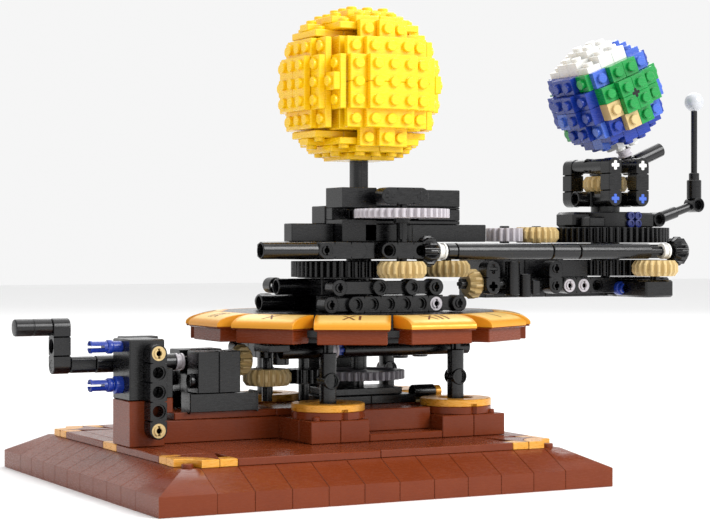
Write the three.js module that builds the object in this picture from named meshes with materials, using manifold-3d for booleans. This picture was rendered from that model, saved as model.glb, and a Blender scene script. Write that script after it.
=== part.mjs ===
// Hand-cranked orrery built from stud-and-beam construction bricks.
// Millimetres, +Z up. The origin is the sun's axis on the underside of the base.
import * as THREE from 'three';
import * as BufferGeometryUtils from 'three/addons/utils/BufferGeometryUtils.js';
import { ConvexGeometry } from 'three/addons/geometries/ConvexGeometry.js';
import Module from 'manifold-3d';

const wasm = await Module();
wasm.setup();

// ---------------------------------------------------------------- driving dimensions
const STUD = 8;                  // grid pitch
const PLATE = 3.2;               // plate height
const BRICK = 3 * PLATE;         // brick height
const LIFT = 7.4;                // width and thickness of a beam
const GAP = 0.3;                 // air between pieces that run or rest on each other
const SEAT = 0.1;                // air between pieces stacked on each other
const AXLE_R = 2.3;              // axle
const BORE_R = 2.75;             // hole that an axle runs in
const PIN_HOLE_R = 2.45;
const TUBE_R = 3.65;             // round connectors and tubes

const BASE_X = [-17 * STUD, 9 * STUD];
const BASE_Y = [-12 * STUD, 12 * STUD];
const BASE_RIM_Z = 8;            // top of the upright rim
const BASE_TOP_Z = 16;           // where the slopes end
const DECK_Z = BASE_TOP_Z + PLATE;
const SKIRT = 2 * STUD;          // plan width of the slopes

const PLINTH_HALF = 6 * STUD;
const PLINTH_Z = DECK_Z + BRICK;
const FOOT = 4 * STUD;           // posts stand at (+-FOOT, +-FOOT)
const FOOT_R = 2 * STUD;
const POST_BOSS_Z = 44.7;
const DIAL_Z = [60.8, 64, 67.2, 73.6];
const DIAL_APOTHEM = 61;
const TILE = { depth: 16, width: 32, lip: 1.8 };
const MONTHS = 12;

const CRANK_Z = 52.8;
const CRANK_ARM_X = -142;
const CRANK_REACH = 2 * STUD;
const BRACKET_X = -112;
const BASE_TRAIN_Z = CRANK_Z - STUD;   // plane of the flat gears under the dial
const IDLER_16_X = -28;
const IDLER_20_X = -46;

const FRAME_Z = [73.7, 81.1, 88.5];
const FRAME_Y = 4 * STUD;
const HUB_R = 5.8;               // carriage tube in the fixed frame
const TURNTABLE_Z = 92.5;        // plane of the fixed 60-tooth turntable
const CARRIAGE_Z = [97, 104.8, 112.7, 120.6, 128.4];
const PLANET = [0, -40];         // planet shaft, at the front of the tower
const SUN_TRAIN_Z = 117;
const FRONT_SHAFT_Z = TURNTABLE_Z + STUD;
const BEVEL_X = 12.7;             // from a flat gear's axis to the middle of the bevel on it
const TOP_CHAIN_Z = 108.2;
const ARM_SHAFT_Z = TURNTABLE_Z - 7;
const ARM_BEVEL_X = BEVEL_X + 1; // the arm shaft lies 1 mm nearer, so its bevel stands further out
const ARM_PINION = [Math.sqrt(40 ** 2 - 16 ** 2), -16];
const TOP_16_X = 78;
const TOP_20_X = 96;
const EARTH_X = 136;
const EARTH_Z = 176;
const EARTH_TILT = THREE.MathUtils.degToRad(22.5);
const SUN_Z = 175.4;
const MOON = [190, 175];         // X and Z of the moon's centre

const TEETH = { small: 12, idler: 16, pinion: 20, large: 40, ring: 60 };
const ADDENDUM = 0.8;            // tooth tips and roots, from the pitch circle of a 1 mm module
const DEDENDUM = 1.15;
const TIP_SHARE = 0.12;          // half widths of a tooth, as shares of the tooth pitch
const ROOT_SHARE = 0.27;

// ---------------------------------------------------------------- finishes
const finish = (color, roughness = 0.4, metalness = 0) =>
  new THREE.MeshStandardMaterial({ color, roughness, metalness });
const BROWN = finish(0x6b2d16);
const BLACK = finish(0x1b1b1d);
const TAN = finish(0xdcc38c);
const GREY = finish(0xb9b8c2);
const DARK_GREY = finish(0x77747c);
const GOLD = finish(0xd9982a, 0.3, 0.5);
const YELLOW = finish(0xf7c61d);
const BLUE = finish(0x2a4fb0);

// ---------------------------------------------------------------- solids
const group = new THREE.Group();

function solid(geometry) {
  const bare = geometry.clone();
  bare.deleteAttribute('normal');
  bare.deleteAttribute('uv');
  const merged = BufferGeometryUtils.mergeVertices(bare, 1e-4);
  return new wasm.Manifold(new wasm.Mesh({
    numProp: 3,
    vertProperties: new Float32Array(merged.attributes.position.array),
    triVerts: new Uint32Array(merged.index.array),
  }));
}

function surface(manifold) {
  const mesh = manifold.getMesh();
  const geometry = new THREE.BufferGeometry();
  geometry.setAttribute('position', new THREE.BufferAttribute(mesh.vertProperties, 3));
  geometry.setIndex(new THREE.BufferAttribute(mesh.triVerts, 1));
  geometry.computeVertexNormals();
  return geometry;
}

// Joins the pieces of `added` and then cuts those of `cut`.
function join(added, cut = []) {
  let body = solid(added[0]);
  for (const piece of added.slice(1)) body = body.add(solid(piece));
  for (const piece of cut) body = body.subtract(solid(piece));
  return surface(body);
}

function addNode(name, geometry, material) {
  const node = new THREE.Mesh(geometry, material);
  node.name = name;
  group.add(node);
  return node;
}

function box([x0, x1], [y0, y1], [z0, z1]) {
  const geometry = new THREE.BoxGeometry(x1 - x0, y1 - y0, z1 - z0);
  return geometry.translate((x0 + x1) / 2, (y0 + y1) / 2, (z0 + z1) / 2);
}

// Turns a piece made along Z so that its Z lies along the named axis: X, Y or Z.
function along(axis, geometry) {
  if (axis === 'X') {
    const turn = new THREE.Matrix4().set(0, 0, 1, 0, 1, 0, 0, 0, 0, 1, 0, 0, 0, 0, 0, 1);
    return geometry.applyMatrix4(turn);
  }
  return axis === 'Y' ? geometry.rotateX(-Math.PI / 2) : geometry;
}

// A rod of the given radius along an axis, from `from` to `to` on that axis.
function rod(axis, radius, [from, to], [x, y, z] = [0, 0, 0], sides = 10) {
  const geometry = new THREE.CylinderGeometry(radius, radius, to - from, sides);
  geometry.rotateX(Math.PI / 2).translate(0, 0, (from + to) / 2);
  return along(axis, geometry).translate(x, y, z);
}

function prism(shape, [z0, z1], curveSegments = 8) {
  const geometry = new THREE.ExtrudeGeometry(shape, {
    depth: z1 - z0, bevelEnabled: false, curveSegments,
  });
  return geometry.translate(0, 0, z0);
}

function ringPrism(inner, outer, span, sides = 32) {
  const shape = new THREE.Shape().absarc(0, 0, outer, 0, 2 * Math.PI);
  shape.holes.push(new THREE.Path().absarc(0, 0, inner, 0, 2 * Math.PI));
  return prism(shape, span, sides);
}

// A beam of `count` holes with round ends. It lies along X from its first hole, holes along Y.
function beam(count, [x, y, z], holes = true) {
  const length = (count - 1) * STUD;
  const r = LIFT / 2;
  const shape = new THREE.Shape();
  shape.absarc(0, 0, r, Math.PI / 2, 1.5 * Math.PI);
  shape.absarc(length, 0, r, -Math.PI / 2, Math.PI / 2);
  shape.closePath();
  for (let i = 0; holes && i < count; i += 1) {
    shape.holes.push(new THREE.Path().absarc(i * STUD, 0, PIN_HOLE_R, 0, 2 * Math.PI));
  }
  const geometry = prism(shape, [-LIFT / 2, LIFT / 2], 4);
  return geometry.rotateX(Math.PI / 2).translate(x, y, z);
}

// A gear around Z. `half` is half its thickness, `chamfer` turns the teeth in at both ends, and
// `phase` is the angle of one tooth's middle.
function gear(teeth, half, { phase = 0, chamfer = 0, bore = BORE_R } = {}) {
  const pitchRadius = teeth / 2;
  const root = pitchRadius - DEDENDUM;
  const step = (2 * Math.PI) / teeth;
  const corners = [-ROOT_SHARE, -TIP_SHARE, TIP_SHARE, ROOT_SHARE];
  const outline = (tip) => {
    const points = [];
    for (let tooth = 0; tooth < teeth; tooth += 1) {
      corners.forEach((share, i) => {
        const angle = phase + (tooth + share) * step;
        const radius = i === 1 || i === 2 ? tip : Math.min(root, tip - 0.05);
        points.push(new THREE.Vector2(radius * Math.cos(angle), radius * Math.sin(angle)));
      });
    }
    return points;
  };
  const tip = pitchRadius + ADDENDUM;
  const levels = chamfer
    ? [[-half, tip - chamfer], [0, tip], [half, tip - chamfer]]
    : [[-half, tip], [half, tip]];
  const boreSides = 8;
  const hole = [];
  for (let i = 0; i < boreSides; i += 1) {
    const angle = -(i * 2 * Math.PI) / boreSides;
    hole.push(new THREE.Vector2(bore * Math.cos(angle), bore * Math.sin(angle)));
  }
  const size = teeth * corners.length;
  const positions = [];
  for (const [z, radius] of levels) {
    for (const p of outline(radius)) positions.push(p.x, p.y, z);
  }
  const first = positions.length / 3;
  for (const z of [-half, half]) for (const p of hole) positions.push(p.x, p.y, z);
  const index = [];
  for (let level = 0; level + 1 < levels.length; level += 1) {
    for (let i = 0; i < size; i += 1) {
      const a = level * size + i;
      const b = level * size + ((i + 1) % size);
      index.push(a, b, b + size, a, b + size, a + size);
    }
  }
  for (let i = 0; i < boreSides; i += 1) {
    const a = first + i;
    const b = first + ((i + 1) % boreSides);
    index.push(a, b, b + boreSides, a, b + boreSides, a + boreSides);
  }
  const faces = THREE.ShapeUtils.triangulateShape(outline(levels[0][1]), [hole]);
  const top = (levels.length - 1) * size;
  for (const [a, b, c] of faces) {
    const low = [a, b, c].map((i) => (i < size ? i : first + i - size));
    const high = [a, b, c].map((i) => (i < size ? top + i : first + boreSides + i - size));
    index.push(low[0], low[2], low[1], high[0], high[1], high[2]);
  }
  const geometry = new THREE.BufferGeometry();
  geometry.setAttribute('position', new THREE.Float32BufferAttribute(positions, 3));
  geometry.setIndex(index);
  return geometry;
}

// The phase of a gear that meshes with another, which lies from it at angle `towards` + 180.
function meshPhase(teeth, phase, mateTeeth, towards) {
  const step = (2 * Math.PI) / teeth;
  const mateStep = (2 * Math.PI) / mateTeeth;
  const share = (towards - phase) / step;
  return towards + Math.PI - (0.5 - share) * mateStep;
}

// The phase of a bevel around X in mesh with a flat gear at `towards` (0 or 180 degrees).
function bevelPhase(teeth, phase, mateTeeth, towards, above = true) {
  const step = (2 * Math.PI) / teeth;
  const off = phase - towards - Math.round((phase - towards) / step) * step;
  const sideways = (Math.cos(towards) * off * teeth) / 2 + Math.PI / 2;
  const turn = sideways / (mateTeeth / 2);
  return above ? -Math.PI / 2 + turn : Math.PI / 2 - turn;
}

// ---------------------------------------------------------------- base
// Quarter-ring trim at the deck corner (x, y); sx and sy point towards the deck's middle.
function cornerTrim([x, y], sx, sy, z, grow = 0) {
  const inner = STUD + 0.4 - grow;
  const outer = 2 * STUD + grow;
  const end = 3 * STUD + grow;
  const points = [[end, -grow], [end, STUD + grow]];
  for (let i = 0; i <= 6; i += 1) {
    const angle = Math.asin(STUD / outer) + (i / 6) * (Math.PI / 2 - 2 * Math.asin(STUD / outer));
    points.push([outer * Math.cos(angle), outer * Math.sin(angle)]);
  }
  points.push([STUD + grow, end], [-grow, end]);
  for (let i = 0; i <= 4; i += 1) {
    const angle = Math.PI / 2 - (i / 4) * (Math.PI / 2);
    points.push([inner * Math.cos(angle), inner * Math.sin(angle)]);
  }
  const shape = new THREE.Shape(points.map(([u, v]) => new THREE.Vector2(x + sx * u, y + sy * v)));
  return prism(shape, z);
}

function makeBase() {
  const inside = (range, by) => [range[0] + by, range[1] - by];
  const deckX = inside(BASE_X, SKIRT);
  const deckY = inside(BASE_Y, SKIRT);
  const corners = [];
  for (const [xs, ys, z] of [[BASE_X, BASE_Y, 0], [BASE_X, BASE_Y, BASE_RIM_Z],
    [deckX, deckY, BASE_TOP_Z]]) {
    for (const x of xs) for (const y of ys) corners.push(new THREE.Vector3(x, y, z));
  }
  const skirt = new ConvexGeometry(corners);
  const deck = box(deckX, deckY, [BASE_TOP_Z - 1, DECK_Z]);
  const added = [skirt, deck];
  const cut = [];
  const studs = [];
  for (const sx of [1, -1]) {
    for (const sy of [1, -1]) {
      const x = deckX[sx > 0 ? 0 : 1];
      const y = deckY[sy > 0 ? 0 : 1];
      const cell = [x + sx * STUD / 2, y + sy * STUD / 2];
      const half = STUD / 2 + GAP;
      const opening = [BASE_TOP_Z, DECK_Z + 1];
      cut.push(cornerTrim([x, y], sx, sy, opening, GAP));
      cut.push(box([cell[0] - half, cell[0] + half], [cell[1] - half, cell[1] + half], opening));
      studs.push(rod('Z', 2.4, [BASE_TOP_Z - 1, BASE_TOP_Z + 1.7], [...cell, 0], 10));
      const node = `corner_trim_${studs.length}`;
      addNode(node, cornerTrim([x, y], sx, sy, [BASE_TOP_Z + SEAT, DECK_Z]), GOLD);
    }
  }
  addNode('base', join([join(added, cut), ...studs]), BROWN);
}

function makePlinth() {
  const wide = [-PLINTH_HALF, PLINTH_HALF];
  const inner = [-2 * STUD + GAP, 2 * STUD - GAP];
  const added = [
    box(wide, wide, [DECK_Z + SEAT, PLINTH_Z]),
    box(inner, [-4.5 * STUD, 4.5 * STUD], [PLINTH_Z - 1, PLINTH_Z + PLATE]),
    box([-4.5 * STUD, 4.5 * STUD], inner, [PLINTH_Z - 1, PLINTH_Z + PLATE]),
  ];
  const rings = [];
  for (const x of [-FOOT, FOOT]) {
    for (const y of [-FOOT, FOOT]) {
      added.push(rod('Z', FOOT_R - SEAT, [PLINTH_Z - 1, PLINTH_Z + PLATE], [x, y, 0], 32));
      rings.push([x, y]);
    }
  }
  added.push(box([-104, -PLINTH_HALF + 1], [-16, 16], [DECK_Z + SEAT, PLINTH_Z]));
  added.push(box([-96, -4 * STUD], [-14, 14], [PLINTH_Z - 1, PLINTH_Z + PLATE]));
  const recess = box([-2.5 * STUD, 2 * STUD], [-PLINTH_HALF - 1, -4.5 * STUD], [DECK_Z + PLATE, 40]);
  addNode('plinth', join(added, [recess]), BROWN);

  const ringZ = [PLINTH_Z + PLATE + SEAT, PLINTH_Z + 2 * PLATE];
  rings.forEach(([x, y], i) => {
    addNode(`foot_ring_${i + 1}`, ringPrism(STUD, FOOT_R, ringZ, 12).translate(x, y, 0), GOLD);
    const from = PLINTH_Z + PLATE + SEAT;
    const post = [
      rod('Z', 3.4, [from, POST_BOSS_Z + 12], [x, y, 0], 10),
      rod('Z', AXLE_R, [POST_BOSS_Z, DIAL_Z[0] - SEAT], [x, y, 0], 8),
      rod('Y', TUBE_R, [-STUD / 2, STUD / 2], [x, y, POST_BOSS_Z]),
    ];
    const hole = rod('Y', PIN_HOLE_R, [-STUD, STUD], [x, y, POST_BOSS_Z]);
    addNode(`post_${i + 1}`, join(post, [hole]), BLACK);
  });
}

// ---------------------------------------------------------------- dial
function makeDial() {
  const [low, step, shoulder, top] = DIAL_Z;
  const circumscribed = (DIAL_APOTHEM - GAP) / Math.cos(Math.PI / MONTHS);
  const disc = new THREE.CylinderGeometry(circumscribed, circumscribed, top - shoulder + 1, MONTHS);
  disc.rotateX(Math.PI / 2).rotateZ(Math.PI / 2 + Math.PI / MONTHS);
  disc.translate(0, 0, (top + shoulder - 1) / 2);
  const plate = join([
    rod('Z', 50, [low, step + 0.5], [0, 0, 0], 28),
    rod('Z', 66, [step, shoulder], [0, 0, 0], 36),
    disc,
  ], [rod('Z', HUB_R + 0.7, [0, 100])]);
  addNode('dial_plate', plate, BROWN);

  const profile = new THREE.Shape();
  profile.moveTo(DIAL_APOTHEM, shoulder + SEAT);
  profile.lineTo(DIAL_APOTHEM + TILE.depth, shoulder + SEAT);
  profile.absellipse(DIAL_APOTHEM, shoulder + TILE.lip, TILE.depth, top - shoulder - TILE.lip,
    0, Math.PI / 2);
  profile.closePath();
  for (let month = 0; month < MONTHS; month += 1) {
    const tile = new THREE.ExtrudeGeometry(profile, {
      depth: TILE.width, bevelEnabled: false, curveSegments: 6,
    });
    tile.translate(0, 0, -TILE.width / 2).rotateX(Math.PI / 2);
    tile.rotateZ((month * 2 * Math.PI) / MONTHS);
    addNode(`month_tile_${month + 1}`, tile, GOLD);
  }
}

// Beams that carry the fixed turntable on the dial.
function makeFixedFrame() {
  const [low, middle, top] = FRAME_Z;
  const tier = (z) => z + LIFT / 2;
  const added = [];
  for (const side of [-1, 1]) {
    added.push(beam(9, [-4 * STUD, side * FRAME_Y, tier(low)], side < 0));
    added.push(beam(7, [-28, side * FRAME_Y, tier(middle) - 0.05], side < 0));
    for (const x of [-24, -2.5, 18]) {
      added.push(box([x - TUBE_R, x + TUBE_R], [side < 0 ? -FRAME_Y + 3 : 12, side < 0 ? -12 : FRAME_Y - 3],
        [middle - 0.2, top - 0.4]));
    }
  }
  added.push(box([-27.6, 21.6], [-16, 16], [middle - 0.2, top - 0.4]));
  added.push(box([-28, 28], [-FRAME_Y + 3, FRAME_Y - 3], [low, middle]));
  added.push(rod('X', TUBE_R, [-44.5, -20], [0, 12, tier(low)], 10));
  added.push(rod('X', TUBE_R, [-41.7, -20], [0, 0, tier(middle) - 0.2], 10));
  addNode('fixed_frame', join(added, [rod('Z', HUB_R + 0.7, [0, 100])]), BLACK);
  const ring = gear(TEETH.ring, 3.6, { bore: HUB_R + 0.7 }).translate(0, 0, TURNTABLE_Z);
  addNode('fixed_turntable', ring, BLACK);
}

// ---------------------------------------------------------------- crank and its supports
function makeBearings() {
  const [near, face, beamX] = [[-24, -4], -24 - LIFT / 2 + 0.1, BRACKET_X + 2];
  const [from, count] = [26.4, 5];
  const upright = beam(count, [0, 0, 0], false).rotateY(-Math.PI / 2);
  const added = [
    box([BRACKET_X - STUD, BRACKET_X + STUD - GAP], near, [DECK_Z + SEAT, 64]),
    upright.translate(beamX, face, from),
  ];
  for (const z of [CRANK_Z - STUD, CRANK_Z + STUD]) {
    added.push(rod('X', AXLE_R, [-134, BRACKET_X], [0, -14, z], 10));
  }
  const cut = [];
  for (let i = 0; i < count; i += 1) {
    cut.push(rod('Y', PIN_HOLE_R, [face - STUD, face + 3], [beamX, 0, from + i * STUD], 8));
  }
  addNode('bracket_front', join(added, cut), BLACK);
  const rear = [4, 11.9];
  addNode('bracket_rear', join([
    box([BRACKET_X, BRACKET_X + STUD - GAP], rear, [DECK_Z + SEAT, 64]),
    box([BRACKET_X, BRACKET_X + 2 * STUD], rear, [PLINTH_Z + PLATE + GAP, 64]),
  ]), BLACK);
}

function makeGearboxes() {
  const floor = PLINTH_Z + PLATE + SEAT;
  const ceiling = DIAL_Z[0] - SEAT;
  const left = join([
    box([-86, -66], [-16, 16], [floor, 58]),
    box([-67, -63], [-16, 16], [floor, 40]),
  ], [rod('X', BORE_R, [-200, 0], [0, 0, CRANK_Z])]);
  addNode('gearbox_left', left, BLACK);
  const arms = [ceiling - LIFT, ceiling];
  const reach = (x) => box([x - TUBE_R, x + TUBE_R], [-TUBE_R, 23], arms);
  const rear = join([
    box([-14, 14], [22.5, 32], [floor, ceiling]),
    box([-50, 14], [22.5, 27.5], arms),
    reach(IDLER_20_X),
    reach(IDLER_16_X),
  ], [IDLER_20_X, IDLER_16_X].map((x) => rod('Z', BORE_R, [0, 100], [x, 0, 0])));
  addNode('gearbox_rear', rear, BLACK);
}

function makeCrank(bevelX, phase) {
  const shaft = join([
    rod('X', AXLE_R, [-145.6, bevelX + 3.6], [0, 0, CRANK_Z], 8),
    rod('X', TUBE_R, [CRANK_ARM_X + 4.2, -90], [0, 0, CRANK_Z]),
    rod('X', 3.2, [-90.5, -86.4], [0, 0, CRANK_Z], 10),
  ]);
  addNode('crank_shaft', shaft, BLACK);
  const grip = CRANK_Z + CRANK_REACH;
  const arm = beam(3, [0, 0, 0], false).rotateY(-Math.PI / 2).rotateZ(Math.PI / 2);
  const bores = [CRANK_Z, grip].map((z) => rod('X', BORE_R, [-200, 0], [0, 0, z], 8));
  addNode('crank_arm', join([arm.translate(CRANK_ARM_X, 0, CRANK_Z)], bores), BLACK);
  addNode('crank_handle', join([
    rod('X', 3.6, [-162, -146], [0, 0, grip]),
    rod('X', AXLE_R, [-147, -138], [0, 0, grip], 8),
  ]), BLACK);
  const bevel = along('X', gear(TEETH.small, 3.6, { phase, chamfer: 2 }));
  addNode('crank_bevel', bevel.translate(bevelX, 0, CRANK_Z), TAN);
}

// ---------------------------------------------------------------- gear trains
const placed = (geometry, x, y, z) => geometry.translate(x, y, z);

// A flat gear joined with its own axle, which runs from z `from` to `to`.
function shaftGear(name, teeth, phase, [x, y, z], [from, to], material, chamfer = 0) {
  const half = chamfer ? 3.7 : 3.2;
  const wheel = placed(gear(teeth, half, { phase, chamfer, bore: 1.5 }), x, y, z);
  addNode(name, join([wheel, rod('Z', AXLE_R, [from, to], [x, y, 0], 8)]), material);
}

function makeBaseTrain() {
  const phase40 = Math.PI / TEETH.large;
  const phase16 = meshPhase(TEETH.large, phase40, TEETH.idler, Math.PI);
  const phase20 = meshPhase(TEETH.idler, phase16, TEETH.pinion, Math.PI);
  const bevel = bevelPhase(TEETH.pinion, phase20, TEETH.small, Math.PI);
  const z = BASE_TRAIN_Z;
  const wheel = placed(gear(TEETH.large, 2, { phase: phase40 }), 0, 0, z);
  addNode('central_gear_40t', wheel, DARK_GREY);
  shaftGear('idler_16t', TEETH.idler, phase16, [IDLER_16_X, 0, z], [34, 60], BLACK);
  shaftGear('idler_20t', TEETH.pinion, phase20, [IDLER_20_X, 0, z], [34, 60], TAN, 2);
  makeCrank(IDLER_20_X - BEVEL_X, bevel);
}

function makeCarriageTrain() {
  const z = TURNTABLE_Z;
  const planetPhase = meshPhase(TEETH.ring, 0, TEETH.pinion, -Math.PI / 2);
  shaftGear('planet_pinion', TEETH.pinion, planetPhase, [...PLANET, z], [88.7, 127.6], TAN, 2);
  const armAngle = Math.atan2(ARM_PINION[1], ARM_PINION[0]);
  const armPhase = meshPhase(TEETH.ring, 0, TEETH.pinion, armAngle);
  shaftGear('arm_pinion', TEETH.pinion, armPhase, [...ARM_PINION, z], [88.7, 103], TAN, 2);

  const upper = placed(gear(TEETH.large, 2, { phase: 0 }), ...PLANET, SUN_TRAIN_Z);
  addNode('planet_gear_40t', upper, GREY);

  // The Earth stand's gear shares the front shaft with the planet pinion, so both pinions
  // carry the same phase and both bevels too.
  const tail = [EARTH_X, PLANET[1]];
  shaftGear('tail_pinion', TEETH.pinion, planetPhase, [...tail, z], [80, 96.2], TAN, 2);
  const bevel = bevelPhase(TEETH.pinion, planetPhase, TEETH.small, 0);
  const wheel = (x) => placed(
    along('X', gear(TEETH.small, 3.6, { phase: bevel, chamfer: 2, bore: 1.5 })),
    x, PLANET[1], FRONT_SHAFT_Z);
  addNode('front_shaft', join([
    wheel(PLANET[0] + BEVEL_X),
    wheel(EARTH_X + BEVEL_X),
    rod('X', AXLE_R, [PLANET[0] + BEVEL_X - 3, EARTH_X + BEVEL_X + 4.4], [0, PLANET[1], FRONT_SHAFT_Z], 8),
    rod('X', TUBE_R, [20, 140], [0, PLANET[1], FRONT_SHAFT_Z]),
  ]), BLACK);

  const lower = bevelPhase(TEETH.pinion, armPhase, TEETH.small, 0, false);
  const armBevel = along('X', gear(TEETH.small, 3.6, { phase: lower, chamfer: 2, bore: 1.5 }));
  addNode('arm_shaft', join([
    placed(armBevel, ARM_PINION[0] + ARM_BEVEL_X, ARM_PINION[1], ARM_SHAFT_Z),
    rod('X', AXLE_R, [ARM_PINION[0] + ARM_BEVEL_X - 4.2, 128], [0, ARM_PINION[1], ARM_SHAFT_Z], 8),
  ]), TAN);

  const moonPhase = 0;
  const phase20 = meshPhase(TEETH.ring, moonPhase, TEETH.pinion, Math.PI);
  const phase16 = meshPhase(TEETH.pinion, phase20, TEETH.idler, Math.PI);
  const top = TOP_CHAIN_Z;
  shaftGear('top_gear_20t', TEETH.pinion, phase20, [TOP_20_X, 0, top], [98, 112.4], TAN, 2);
  shaftGear('top_gear_16t', TEETH.idler, phase16, [TOP_16_X, 0, top], [98, 112.4], GREY);
  addNode('moon_turntable',
    placed(gear(TEETH.ring, 3.6, { phase: moonPhase, bore: 8.6 }), EARTH_X, 0, top), BLACK);
}

// ---------------------------------------------------------------- carriage
function makeCarriage() {
  const [low, beamTop, tier3, tier2, tier1] = CARRIAGE_Z;
  const y = PLANET[1];
  const planetBore = rod('Z', BORE_R, [0, 200], [...PLANET, 0]);
  const mid = (low + beamTop) / 2;
  addNode('tower_lower', join([
    box([-28, 26], [-16, 16], [low, beamTop - SEAT]),
    rod('Z', HUB_R, [82, low + 1], [0, 0, 0], 16),
    box([-15.5, 7.6], [y + 3, -15], [low, beamTop - SEAT]),
    beam(3, [-12, y, mid - 0.05]),
    beam(3, [-44, y + 4, mid - 0.05]),
    box([-44, -27], [y + 3, 16], [low, beamTop - SEAT]),
    rod('X', TUBE_R, [-66, -40], [0, y + 4, mid - 0.05], 12),
  ], [planetBore, rod('Z', BORE_R, [0, 200])]), BLACK);

  const slotZ = [SUN_TRAIN_Z - 2.6, SUN_TRAIN_Z + 2.6];
  const gearSlots = [rod('Z', 21.6, slotZ, [0, 0, 0], 32), rod('Z', 21.6, slotZ, [...PLANET, 0], 32)];
  addNode('tower_upper', join([
    box([-28, 58], [-16, 16], [beamTop, tier3 + 0.1]),
    box([-45.5, -25], [y + 16, -15], [beamTop, tier3]),
    box([-12, 44], [-16, 16], [tier3 - 0.1, tier2 + 0.1]),
    box([-25.5, -22.3], [-17, -3], [tier3 - 0.1, tier2]),
    box([-8, 44], [-16, 16], [tier2, tier1]),
    box([-25, -8], [y + 8, -15], [beamTop, tier1]),
    box([-25, -12], [y - TUBE_R, -15], [tier2 + 0.1, tier1]),
    beam(3, [-STUD, y, (tier2 + tier1) / 2 + 0.1], false),
    box([-14, -7], [y - TUBE_R, y + TUBE_R], [tier2 + 0.4, tier1 - 0.2]),
  ], [planetBore, ...gearSlots, rod('Z', 4.2, [SUN_TRAIN_Z, 200]), rod('Z', BORE_R, [0, SUN_TRAIN_Z])]),
  BLACK);

  const railTop = 103.7;
  const front = ARM_PINION[1] - 4;
  addNode('arm_frame', join([
    box([26 + GAP, 160], [-12, 12], [low, railTop]),
    box([32, 48], [front, -11], [low, railTop]),
    box([60, 103.5], [front, 12], [78.9, low + 1]),
    box([60, 160], [front, 12], [78.9, 87.9]),
    box([EARTH_X - 8, EARTH_X + 8], [y - 4, front + 1], [78.9, 87]),
    ...[[62, 69], [116, 123]].flatMap((span) => [
      box(span, [y + 2, -11], [low, railTop]),
      rod('X', 5.4, span, [0, y, FRONT_SHAFT_Z], 16),
    ]),
  ], [
    rod('X', BORE_R, [0, 134], [0, ARM_PINION[1], ARM_SHAFT_Z]),
    rod('X', 4.2, [50, 130], [0, y, FRONT_SHAFT_Z]),
    rod('Z', BORE_R, [0, 200], [...ARM_PINION, 0]),
    rod('Z', BORE_R, [95, 200], [TOP_16_X, 0, 0]),
    rod('Z', BORE_R, [95, 200], [TOP_20_X, 0, 0]),
    rod('Z', BORE_R, [0, 200], [EARTH_X, y, 0]),
    rod('Z', 7.7, [95, 200], [EARTH_X, 0, 0], 16),
    rod('Z', BORE_R, [0, 95], [EARTH_X, 0, 0]),
  ]), BLACK);
}

// ---------------------------------------------------------------- sun
// Ball of stacked plates: on each of the six faces a level lies `depth` plates below the face.
// Each entry is [depth, half extent along the long axis, half extent across], in studs.
const SUN_LEVELS = [[0, 1.5, 1.5], [1, 1.5, 2.5], [1, 2.5, 1.5], [2, 2.5, 2.5], [2, 3.5, 0.5],
  [3, 3.5, 1.5]];
const EARTH_LEVELS = [[0, 1, 1], [1, 2, 1], [1, 1, 2], [2, 2, 2]];

function plateBall(face, levels, bore) {
  const blocks = [];
  for (const [depth, long, across] of levels) {
    const reach = [-face + depth * PLATE, face - depth * PLATE];
    const a = [-long * STUD, long * STUD];
    const b = [-across * STUD, across * STUD];
    blocks.push(box(reach, a, b), box(b, reach, a), box(a, b, reach));
  }
  return join(blocks, [rod('Z', bore, [-2 * face, -face / 2])]);
}

function makeSun() {
  const gearPhase = meshPhase(TEETH.large, 0, TEETH.large, Math.PI / 2);
  const ballBottom = SUN_Z - 35.2;
  addNode('central_shaft', join([
    rod('Z', AXLE_R, [36, SUN_TRAIN_Z + 4], [0, 0, 0], 8),
    rod('Z', TUBE_R, [BASE_TRAIN_Z + 2.3, DIAL_Z[0] + 2]),
    placed(gear(TEETH.large, 2, { phase: gearPhase, bore: 1.5 }), 0, 0, SUN_TRAIN_Z),
    rod('Z', TUBE_R, [SUN_TRAIN_Z + 1, ballBottom + 6]),
  ]), BLACK);
  addNode('sun_ball', plateBall(35.2, SUN_LEVELS, 4.2).translate(0, 0, SUN_Z), YELLOW);
}

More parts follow.
